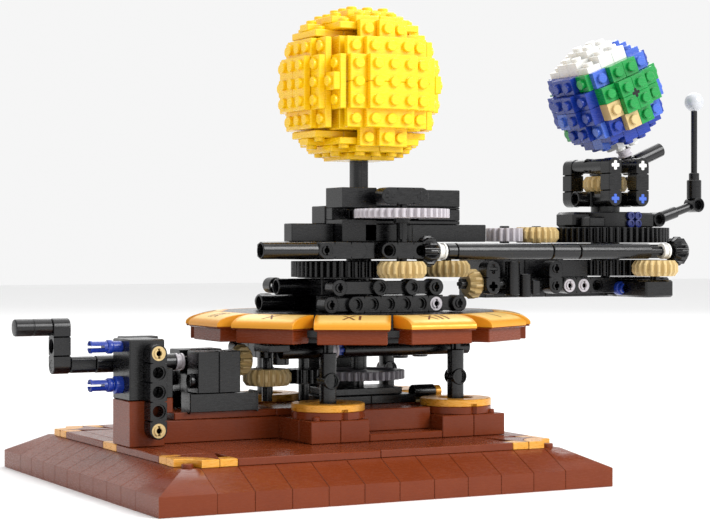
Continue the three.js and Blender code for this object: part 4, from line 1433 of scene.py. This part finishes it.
@dataclass
class FrontShaft(Assembly):
    """The long sleeved axle along the arm, with a black bevel near each end."""

    name: str = "front_shaft_sleeves"
    body: str = "front_shaft"
    nodes: tuple[str, ...] = ("front_shaft",)
    phase: float = 0.0

    def build(self) -> None:
        """Adds bevels, white bushes, the axle, and sleeves that meet at narrow seams."""
        bevel = gear(12, 3.6, bevelled=2, bore=1.9).turned(Axis.Z, math.degrees(self.phase))
        line = [bevel.at(0, 0, BEVEL_X), bevel.at(0, 0, EARTH_X + BEVEL_X)]
        line.append(axle(BEVEL_X - 3, EARTH_X + BEVEL_X + 4.4))
        for start, end in ((27, 77), (77.6, 92), (92.6, 132)):
            line.append(tube(start, end))
        line.append(round_body([(3.0, 22.2), (3.35, 22.4), (3.35, 26.6), (3.0, 26.8)], 20))
        for part in line:
            self.add(Finish.BLACK, part.laid(Axis.X).at(0, PLANET_Y, FRONT_SHAFT_Z))
        for start in (17.6, 139.4):
            self.add(Finish.WHITE, bush(start, start + 3.9).laid(Axis.X).at(0, PLANET_Y, FRONT_SHAFT_Z))


@dataclass
class ArmShaft(Assembly):
    """The tan bevel under the arm and its long axle."""

    name: str = "arm_shaft_axle"
    body: str = "arm_shaft"
    nodes: tuple[str, ...] = ("arm_shaft",)
    phase: float = 0.0

    def build(self) -> None:
        """Adds the bevel and the axle along X."""
        y = ARM_PINION[1]
        bevel = gear(12, 3.6, bevelled=2, bore=1.9).turned(Axis.Z, math.degrees(self.phase))
        self.add(Finish.TAN, bevel.laid(Axis.X).at(ARM_PINION[0] + ARM_BEVEL_X, y, ARM_SHAFT_Z))
        self.add(Finish.BLACK, axle(43.5, 128).laid(Axis.X).at(0, y, ARM_SHAFT_Z))


@dataclass
class Planet(Assembly):
    """The planet pair: a tan 20-tooth pinion below and a grey 40-tooth wheel above."""

    name: str = "planet_pair"
    body: str = "planet"
    nodes: tuple[str, ...] = ("planet_pinion", "planet_gear_40t")
    phase: float = 0.0

    def build(self) -> None:
        """Adds both wheels, a spacer and their axle."""
        pinion = gear(20, 3.7, 1.5, bore=1.9).turned(Axis.Z, math.degrees(self.phase))
        self.add(Finish.TAN, pinion.at(0, PLANET_Y, TURNTABLE_Z))
        self.add(Finish.LIGHT_GREY, gear(40, 2.0, web=0.5, bore=1.9).at(0, PLANET_Y, SUN_TRAIN_Z))
        self.add(Finish.BLACK, axle(88.7, 127.6).at(0, PLANET_Y))
        sleeve = prism(rounded(1.9, 1.9, 0.7, 2), 105.6, 114.6, 0.2)
        self.add(Finish.BLACK, sleeve.at(0, PLANET_Y))
        spacer = round_body([(3.4, 112.8), (3.6, 113), (3.6, 114.7), (3.4, 114.9)], 20)
        self.add(Finish.BLACK, spacer.at(0, PLANET_Y))


@dataclass
class Tower(Assembly):
    """The carriage's stepped brick tower round the sun's shaft."""

    name: str = "tower_bricks"
    body: str = "carriage"
    nodes: tuple[str, ...] = ("tower_lower", "tower_upper")
    half: float = 16.0

    def build(self) -> None:
        """Adds the lower beams and tubes, the three brick tiers and the beam on top."""
        low, top, tier3, tier2, tier1 = CARRIAGE_Z
        mid = (low + top) / 2
        y, half = PLANET_Y, self.half
        black = Finish.BLACK
        self.add(black, brick((-28, 26), (-half, half), (low, top)))
        self.add(black, round_body([(5.8, 82), (5.8, low)], 32))
        self.add(black, brick((-44, -27.2), (y + 8, half), (low, top), 1.2))
        self.add(black, tube(-66, -40).laid(Axis.X).at(0, y + 4, mid))
        self.add(black, brick((-15.3, 7.4), (y + 8, -half), (low, top)))
        self.add(black, level("o-o").at(-8, y, mid))
        self.add(black, brick((-3.6, 3.6), (y + 3.6, y + 8), (low, top)))
        self.add(black, level("o--").at(-36.5, y + 4, mid), pin_end(3.1).at(-36.5, y + 4, mid))
        self.add(black, brick((-20.6, -13), (y + 0.4, y + 7.8), (low + 0.2, top - 0.2)))
        self.add(black, brick((-2.6, 2.6), (y - 3.7, y - 2.4), (low + 0.8, top - 0.8)))
        gap = (114.4, 119.6)
        full = (-half, half)
        self.add(black, brick((-28, 58), full, (top, tier3)))
        self.add(black, brick((-45.5, -25), (y + 16, -half), (top, tier3)))
        self.add(black, brick((-12, 44), full, (tier3, gap[0])), brick((-12, 44), full, (gap[1], tier2)))
        self.add(black, brick((22, 44), full, gap), brick((-12, 22), (12.5, half), gap))
        for across in ((-half, -4.4), (4.4, half)):
            self.add(black, brick((-8, 44), across, (tier2, tier1)))
        for x in ((-8, -4.4), (4.4, 44)):
            self.add(black, brick(x, (-4.5, 4.5), (tier2 + 0.1, tier1)))
        for z in ((top, gap[0]), (gap[1], tier1)):
            self.add(black, brick((-25, -8), (y + 8, -half), z, 0.15))
        self.add(black, brick((-25, -17.2), (-half - 6, -half), gap, 0.1))
        self.add(black, brick((-25.5, -22.3), (-half, -3), (tier3, tier2)))
        beam_z = (tier2 + tier1) / 2 + 0.1
        self.add(black, level("+-+").at(-STUD, y, beam_z))
        self.add(black, brick((-13.8, 3.5), (y + 8, -half), (top, tier3 - 0.2)))
        self.add(black, tube(top, tier3 - 0.4, 3.6).at(10.5, y + 16))
        end = axle(-LIFT / 2 - 0.2, 0).laid(Axis.Y)
        self.add(black, end.at_each([(-STUD, y, beam_z), (STUD, y, beam_z)]))


@dataclass
class Arm(Assembly):
    """The carriage's long arm of beams and bricks under the Earth."""

    name: str = "arm_beams"
    body: str = "carriage"
    nodes: tuple[str, ...] = ("arm_frame",)
    rail_top: float = 103.7
    pin_z: float = 84.4
    rail_holes: int = 14

    def build(self) -> None:
        """Adds the top rail, the lower box, the beams on its front, and the bearings."""
        black = Finish.BLACK
        low = CARRIAGE_Z[0]
        front = -20.0
        for sign in (-1, 1):
            y = sorted((sign * 4.6, sign * 12))
            self.add(black, brick_row((26.3, 160), y, (low, self.rail_top), 4))
            rail = level("o" * self.rail_holes)
            self.add(black, rail.at(30.5, sign * (12 - LIFT / 2), (low + self.rail_top) / 2))
        self.add(black, brick((26.3, 128), (-4.5, 4.5), (low, self.rail_top)))
        self.add(black, brick_row((60, 103.5), (-12, 12), (87.9, low), 2))
        self.add(black, brick_row((60, 160), (-12, 12), (78.9, 87.9), 3))
        self.add(black, brick((32, 48), (front, -12), (low, self.rail_top)))
        self.add(black, upright("++").at(57.3, front + 0.2, self.pin_z))
        self.add(black, upright("oo").at(91.7, front + 0.2, self.pin_z))
        self.add(black, level("ooo-").at(99.2, front + 0.3, self.pin_z))
        for z in (self.pin_z, self.pin_z + STUD):
            self.add(black, pin_end().at(91.7, front, z))
        for x in (99.2, 107.2):
            self.add(Finish.LIGHT_GREY, pin_end().at(x, front, self.pin_z))
        self.add(black, brick((95, 112), (front, -16), (self.pin_z + 3.8, low - 0.5)))
        self.add(black, prism(rounded(3.2, 3.2, 2.4, 3), 80.2, 95.8, 0.3).at(70.4, front + 1))
        self.add(black, tube(79.2, 90, 3.3).at(77.5, front + 1.5))
        self.add(black, brick((80.5, 84.5), (front - 1, -12), (80.4, 87)))
        self.add(black, brick((EARTH_X - 8, EARTH_X + 8), (PLANET_Y - 4, front + 1), (78.9, 87), 0.8))
        self.add(black, brick((EARTH_X - 8, 160), (front, -12), (78.9, 87.9), 0.8))
        blue = round_body([(2.0, 0), (3.1, 0.3), (3.3, 1), (3.3, 3.4), (2.6, 4)], 24)
        self.add(Finish.BLUE, blue.laid(Axis.Y).at(EARTH_X - 8.3, PLANET_Y + 14.5, 83))
        self.add(Finish.BLUE, slotted(2.4, 3.4).laid(Axis.Y).at(EARTH_X - 8.3, PLANET_Y + 12.0, 83))
        for span in ((62, 69), (116, 123)):
            self.add(black, brick(span, (PLANET_Y + 4.6, -12), (low, self.rail_top), 0.8))


# ------------------------------------------------------------------ balls
class Side(Enum):
    """The six sides of a ball, each with its outward direction and sense."""

    RIGHT = (Axis.X, 1)
    LEFT = (Axis.X, -1)
    BACK = (Axis.Y, 1)
    FRONT = (Axis.Y, -1)
    TOP = (Axis.Z, 1)
    UNDER = (Axis.Z, -1)

    def out(self, solid: Solid) -> Solid:
        """Lays a solid made looking up on this side of the ball."""
        axis, sign = self.value
        return (solid if sign > 0 else solid.turned(Axis.X, 180)).laid(axis)


@dataclass(frozen=True)
class PlateBall:
    """A ball of plates built out from a core on six sides.

    On each side a level lies some plates below the face; each entry of levels is that depth and
    the half extents along and across the side, in studs.
    """

    face: float
    levels: tuple[tuple[int, float, float], ...]

    def depth(self, u: float, v: float) -> int | None:
        """Gives the depth of the highest level that holds the cell at (u, v) studs, or None."""
        depths = [d for d, a, b in self.levels if abs(u) < a and abs(v) < b]
        return min(depths) if depths else None

    def cells(self) -> list[tuple[float, float, int]]:
        """Lists each cell's middle in studs and the depth of its top."""
        reach = max(max(a, b) for _, a, b in self.levels)
        line = np.arange(-reach + 0.5, reach, 1.0).tolist()
        found = [(u, v, self.depth(u, v)) for u in line for v in line]
        return [(u, v, d) for u, v, d in found if d is not None]

    def core(self) -> Solid:
        """Gives the block inside: as wide as the lowest plates' undersides."""
        size = self.face - (max(d for d, _, _ in self.levels) + 1) * PLATE - 0.1
        return brick((-size, size), (-size, size), (-size, size))

    def slabs(self) -> Solid:
        """Gives every level as a row of plates for one side, looking up."""
        rows = []
        for d, a, b in self.levels:
            top = self.face - d * PLATE
            x, y = (-a * STUD, a * STUD), (-b * STUD, b * STUD)
            rows.append(brick_row(x, y, (top - PLATE, top), max(1, round(a)), Axis.X))
        return joined(rows)


@dataclass
class SunBall(Assembly):
    """The Sun: a ball of bright yellow plates on the central shaft, with the shaft itself."""

    name: str = "sun_ball_plates"
    body: str = "sun"
    nodes: tuple[str, ...] = ("sun_ball", "central_shaft", "central_gear_40t")
    ball: PlateBall = PlateBall(
        33.5, ((0, 1.5, 1.5), (1, 1.5, 2.5), (1, 2.5, 1.5), (2, 2.5, 2.5), (2, 3.5, 0.5), (3, 3.5, 1.5)))
    gear_phase: float = 0.0

    def build(self) -> None:
        """Adds the ball's six sides with their studs, and the shaft, sleeves and two wheels."""
        studs_up = stud().at_each([(u * STUD, v * STUD, self.ball.face - d * PLATE)
                                   for u, v, d in self.ball.cells()])
        low_studs = stud().at_each([(u * STUD, v * STUD, self.ball.face - d * PLATE)
                                    for u, v, d in self.ball.cells() if d])
        for side in Side:
            smooth = side is Side.UNDER
            self.add(Finish.YELLOW, side.out(self.ball.slabs()).at(0, 0, SUN_Z))
            self.add(Finish.YELLOW, side.out(low_studs if smooth else studs_up).at(0, 0, SUN_Z))
        self.add(Finish.YELLOW, self.ball.core().at(0, 0, SUN_Z))
        bottom = SUN_Z - self.ball.face
        self.add(Finish.BLACK, axle(36, SUN_TRAIN_Z + 4))
        self.add(Finish.BLACK, tube(BASE_TRAIN_Z + 2.3, DIAL_Z[0] + 2), tube(DIAL_Z[1], CARRIAGE_Z[0], 4.4))
        post = prism(rounded(3.65, 3.65, 2.0, 5), SUN_TRAIN_Z + 1, bottom + 4, 0.2)
        groove = prism(rounded(0.9, 3.85, 0.3, 1), SUN_TRAIN_Z + 2, bottom + 3, 0.1)
        self.add(Finish.BLACK, post, groove)
        upper = gear(40, 2.0, web=0.5, bore=1.9).turned(Axis.Z, math.degrees(self.gear_phase))
        lower = gear(40, 2.0, web=0.5, bore=1.9).turned(Axis.Z, 180 / 40)
        self.add(Finish.BLACK, upper.at(0, 0, SUN_TRAIN_Z))
        self.add(Finish.DARK_GREY, lower.at(0, 0, BASE_TRAIN_Z))


def earth_lean(solid: Solid) -> Solid:
    """Leans a solid by the Earth's tilt and puts it in place."""
    return solid.turned(Axis.Y, -math.degrees(EARTH_TILT)).at(EARTH_X, 0, EARTH_Z)


@dataclass
class EarthBall(Assembly):
    """The Earth: a tilted ball of plates, coloured cell by cell, and its axle."""

    name: str = "earth_ball_plates"
    body: str = "earth"
    nodes: tuple[str, ...] = ("earth_ball", "earth_axle")
    ball: PlateBall = PlateBall(25.2, ((0, 1, 1), (1, 2, 1), (1, 1, 2), (2, 2, 2)))
    land: tuple[tuple[Side, str], ...] = (
        (Side.FRONT, "SGGS GGGG TGGG BTGS"),
        (Side.LEFT, "GBBB BBBB BBSB SBBG"),
        (Side.BACK, "BGGB GGGG TGGB BTBB"),
        (Side.RIGHT, "BBBB SGGB GGGB BGBB"),
        (Side.TOP, "WWWS WWWS WWWS WWWS"),
        (Side.UNDER, "BBSB BWWB SWWB BBBB"),
    )
    paint: tuple[tuple[str, Finish], ...] = (
        ("S", Finish.SKY), ("B", Finish.BLUE), ("G", Finish.GREEN),
        ("T", Finish.TAN), ("W", Finish.WHITE))

    def build(self) -> None:
        """Adds each side's cells: a plate and its stud in the cell's colour; then the axle."""
        face = self.ball.face
        colours = dict(self.paint)
        for side, rows in self.land:
            letters = "".join(rows.split())
            for u, v, d in self.ball.cells():
                column, row = round(u + 1.5), round(v + 1.5)
                finish = colours[letters[row * 4 + column]]
                top = face - d * PLATE
                span = [(c * STUD - 4, c * STUD + 4) for c in (u, v)]
                plates = brick(*span, (face - 3 * PLATE, top), 0.15)
                cell = joined([plates, stud().at(u * STUD, v * STUD, top)])
                self.add(finish, earth_lean(side.out(cell)))
        self.add(Finish.BLUE, earth_lean(self.ball.core()))
        hole = axle(face - 0.9, face + 0.06)
        self.add(Finish.BLACK, earth_lean(Side.FRONT.out(hole)))
        self.add(Finish.BLACK, earth_lean(axle(-39, -18)))
        self.add(Finish.LIGHT_GREY, earth_lean(bush(-31.5, -27.6)))


@dataclass
class EarthStand(Assembly):
    """The stand that keeps the Earth's axle leaning one way, on its own 60-tooth turntable."""

    name: str = "earth_stand_beams"
    body: str = "earth_stand"
    nodes: tuple[str, ...] = ("earth_stand",)
    low: float = 125.6
    high: float = 141.6
    side_y: float = 16.0

    def build(self) -> None:
        """Adds the turntable, sleeve, four uprights, cross tubes, bearing and outrigger."""
        black = Finish.BLACK
        self.add(black, gear(60, 3.7, bore=2.4).at(EARTH_X, 0, TURNTABLE_Z))
        self.add(black, round_body([(7, TURNTABLE_Z), (7, self.low - 3.2)], 32).at(EARTH_X))
        self.add(black, brick((EARTH_X - 12, EARTH_X + 12), (-5, 5), (self.low - 3.6, self.low + 3.2)))
        for start, end in ((-26, -17.3), (-17, -6)):
            self.add(black, tube(start, end).laid(Axis.X).at(EARTH_X + STUD, 0, self.low))
        self.add(black, tube(-19, -6).laid(Axis.X).at(EARTH_X + STUD, 0, self.high))
        for x in (EARTH_X - STUD, EARTH_X + STUD):
            for side in (-1, 1):
                self.add(black, upright("+-+").at(x, side * self.side_y, self.low))
                reach = sorted((side * (self.side_y - 1), side * (self.side_y + LIFT / 2 + 0.12)))
                for z, finish in ((self.low, Finish.SKY), (self.high, Finish.WHITE)):
                    self.add(finish, axle(*reach).laid(Axis.Y).at(x, 0, z))
            for z in (self.low, self.high):
                self.add(black, tube(-12.2, 12.2, 3.45).laid(Axis.Y).at(x, 0, z))
        self.add(black, earth_lean(tube(-40, -32.4, 4.05, 2.6)))
        self.add(black, earth_lean(tube(4.2, 21, 3.45).laid(Axis.X).at(0, 0, -36)))
        self.add(Finish.LIGHT_GREY, tube(8, 15.6, 2.6, 1.4).laid(Axis.X).at(EARTH_X, -6, 134))


@dataclass
class Moon(Assembly):
    """The Moon's turntable, arm, jointed link and ball."""

    name: str = "moon_carrier"
    body: str = "moon"
    nodes: tuple[str, ...] = ("moon_turntable", "moon_arm", "moon_ball")
    elbow: tuple[float, float] = (EARTH_X + 30, 116.0)
    boss: tuple[float, float] = (MOON_X, 123.5)

    def build(self) -> None:
        """Adds the turntable, ring, blocks, elbow, leaning link, holder, bar and ball."""
        black = Finish.BLACK
        z0 = TOP_CHAIN_Z + 3.7
        z1 = z0 + LIFT
        self.add(black, gear(60, 3.6, bore=8.6).at(EARTH_X, 0, TOP_CHAIN_Z))
        ring = [(9, z1), (9, z0), (16.6, z0), (17, z0 + 0.4), (17, z1 - 0.4), (16.6, z1)]
        self.add(black, round_body(ring, 48, looped=True).at(EARTH_X))
        self.add(black, brick((EARTH_X - 24, EARTH_X - 14), (-8, 8), (z0, z1), 1.2))
        self.add(black, brick((EARTH_X + 14, self.elbow[0] - 3), (-3.7, 3.7), (z0, z1), 0.8))
        self.add(black, brick((EARTH_X - 21, EARTH_X - 12), (-17, -9), (z0, z0 + 5), 0.6))
        pins = round_body([(1.1, 0.5), (1.1, 0), (1.9, 0.1), (1.9, 3), (1.1, 3)], 16)
        for x in (2.2, 6.4):
            for z in (1.9, 5.6):
                self.add(Finish.DARK_BLUE, pins.laid(Axis.Y).at(EARTH_X + x, -18.6, z0 + z))
        self.add(Finish.DARK_BLUE, brick((EARTH_X, EARTH_X + 8.6), (-16.4, -12), (z0 + 0.1, z1 - 0.1)))
        x0, h0 = self.elbow
        x1, h1 = self.boss
        self.add(black, tube(-4, 4).laid(Axis.Y).at(x0, 0, h0), tube(-4, 4).laid(Axis.Y).at(x1, 0, h1))
        slope = math.degrees(math.atan2(h1 - h0, x1 - x0))
        length = math.hypot(x1 - x0, h1 - h0)
        link = joined([tube(3.3, 13, 2.9), round_body([(2.2, 12), (2.2, length - 3)], 24)])
        self.add(black, link.laid(Axis.X).turned(Axis.Y, -slope).at(x0, 0, h0))
        self.add(black, tube(h1 + 3, 136).at(x1))
        self.add(black, round_body([(2.6, 136), (2.6, 139.2), (2.3, 139.5)], 24).at(x1))
        self.add(black, round_body([(1.55, 129), (1.55, MOON_Z - 4)], 20).at(x1))
        self.add(Finish.SILVER, ball(4.75, 24, 40).at(MOON_X, 0, MOON_Z))


# ------------------------------------------------------------------ stage
@dataclass(frozen=True)
class Studio:
    """A pale floor, soft lights and the camera."""

    lens_mm: float = 96.15
    place: tuple[float, float, float] = (-0.4031, -0.7615, 0.1021)
    yaw: float = -27.78
    pitch: float = -0.37
    floor_half: float = 6.0

    def floor(self) -> bpy.types.Object:
        """Makes the floor: a wide thin slab whose top is at the object's lowest point.

        Returns:
            The floor.
        """
        half = self.floor_half / MM
        slab = skin(np.stack([np.column_stack([circle(4, math.pi / 4) * half, np.full(4, z)])
                              for z in (-20.0, CAD_BOX[0][2] / MM)]))
        mesh = bpy.data.meshes.new("floor")
        mesh.from_pydata((slab.points * MM).tolist(), [], [f.tolist() for g in slab.faces for f in g])
        material = bpy.data.materials.new("pale_painted_board")
        material.use_nodes = True
        tree = material.node_tree
        shader = tree.nodes["Principled BSDF"]
        place = add_node(tree, "TexCoord").outputs["Object"]
        grain = add_node(tree, "TexNoise", values={"Scale": 60.0, "Detail": 3.0}, links={"Vector": place})
        tone = add_node(tree, "Mix", {"data_type": "RGBA"}, {6: linear("F4F4F4"), 7: linear("EFEFEF")},
                        {0: grain.outputs["Fac"]})
        tree.links.new(tone.outputs[2], shader.inputs["Base Color"])
        shader.inputs["Roughness"].default_value = 0.7
        mesh.materials.append(material)
        floor = bpy.data.objects.new("floor", mesh)
        bpy.context.scene.collection.objects.link(floor)
        return floor

    def light(self, name: str, place: Sequence[float], size: float, power: float) -> None:
        """Adds a square soft light that faces the object.

        Args:
            name: Its name.
            place: Where it stands, in metres.
            size: Its side.
            power: Its power in watts.
        """
        data = bpy.data.lights.new(name, "AREA")
        data.size = size
        data.energy = power
        lamp = bpy.data.objects.new(name, data)
        lamp.location = place
        lamp.rotation_euler = (Vector((0, 0, 0.1)) - Vector(place)).to_track_quat("-Z", "Y").to_euler()
        bpy.context.scene.collection.objects.link(lamp)

    def set_up(self) -> None:
        """Adds the floor, three lights, an even pale surround and the camera."""
        self.floor()
        self.light("key", (0.75, -1.3, 1.0), 0.9, 26)
        self.light("back", (0.9, 1.2, 1.2), 1.2, 10)
        self.light("top", (0.1, 0.1, 1.6), 1.4, 8)
        world = bpy.data.worlds.new("studio")
        world.use_nodes = True
        world.node_tree.nodes["Background"].inputs["Color"].default_value = (1, 1, 1, 1)
        world.node_tree.nodes["Background"].inputs["Strength"].default_value = 0.92
        bpy.context.scene.world = world
        bpy.context.scene.view_settings.view_transform = "Standard"
        data = bpy.data.cameras.new("camera")
        data.lens = self.lens_mm
        data.sensor_width = 36
        camera = bpy.data.objects.new("camera", data)
        camera.location = self.place
        camera.rotation_euler = (math.radians(90 + self.pitch), 0, math.radians(self.yaw))
        bpy.context.scene.collection.objects.link(camera)
        bpy.context.scene.camera = camera


def gear_train() -> list[Assembly]:
    """Makes every gear with a phase, each in mesh with the one before it.

    Returns:
        The assemblies.
    """
    left = math.pi
    base_16 = mesh_phase(40, math.pi / 40, 16, left)
    base_20 = mesh_phase(16, base_16, 20, left)
    planet = mesh_phase(60, 0, 20, -math.pi / 2)
    arm = mesh_phase(60, 0, 20, math.atan2(ARM_PINION[1], ARM_PINION[0]))
    top_20 = mesh_phase(60, 0, 20, left)
    top_16 = mesh_phase(20, top_20, 16, left)
    low, z = BASE_TRAIN_Z, TURNTABLE_Z
    return [
        Crank(phase=bevel_phase(20, base_20, 12, left)),
        ShaftGear("idler_16t_wheel", "idler_16t", ("idler_16t",), {}, 16, 3.2, 0.0, Finish.BLACK,
                  (IDLER_16_X, 0, low), (34, 60), base_16),
        ShaftGear("idler_20t_wheel", "idler_20t", ("idler_20t",), {}, 20, 3.7, 1.5, Finish.TAN,
                  (IDLER_20_X, 0, low), (34, 60), base_20),
        Planet(phase=planet),
        ShaftGear("arm_pinion_wheel", "arm_pinion", ("arm_pinion",), {}, 20, 3.7, 1.5, Finish.TAN,
                  (*ARM_PINION, z), (88.7, 103), arm),
        ShaftGear("tail_pinion_wheel", "tail_pinion", ("tail_pinion",), {}, 20, 3.7, 1.5, Finish.TAN,
                  (EARTH_X, PLANET_Y, z), (80, 96.2), planet),
        FrontShaft(phase=bevel_phase(20, planet, 12, 0)),
        ArmShaft(phase=bevel_phase(20, arm, 12, 0, above=False)),
        ShaftGear("top_20t_wheel", "top_gear_20t", ("top_gear_20t",), {}, 20, 3.7, 1.5, Finish.TAN,
                  (TOP_20_X, 0, TOP_CHAIN_Z), (98, 112.4), top_20),
        ShaftGear("top_16t_wheel", "top_gear_16t", ("top_gear_16t",), {}, 16, 3.2, 0.0, Finish.LIGHT_GREY,
                  (TOP_16_X, 0, TOP_CHAIN_Z), (98, 112.4), top_16),
        ShaftGear("earth_drive_wheel", "earth_drive", ("earth_drive",), {}, 20, 3.7, 1.5, Finish.TAN,
                  (EARTH_X, 0, 133), (81, 138), 0.0),
    ]


def main() -> None:
    """Builds every sub-assembly in order, from the base up, and reports each one."""
    logging.basicConfig(level=logging.INFO, format="%(name)s: %(message)s")
    Studio().set_up()
    sun_gear = mesh_phase(40, 0, 40, math.pi / 2)
    groups = [Base(), Plinth(), Posts(), Dial(), FixedFrame(), CrankBrackets(), GearHousings()]
    groups += [*gear_train(), Tower(), Arm(), SunBall(gear_phase=sun_gear), EarthStand(), EarthBall(), Moon()]
    for group in groups:
        group.dress()


if __name__ == "__main__":
    main()
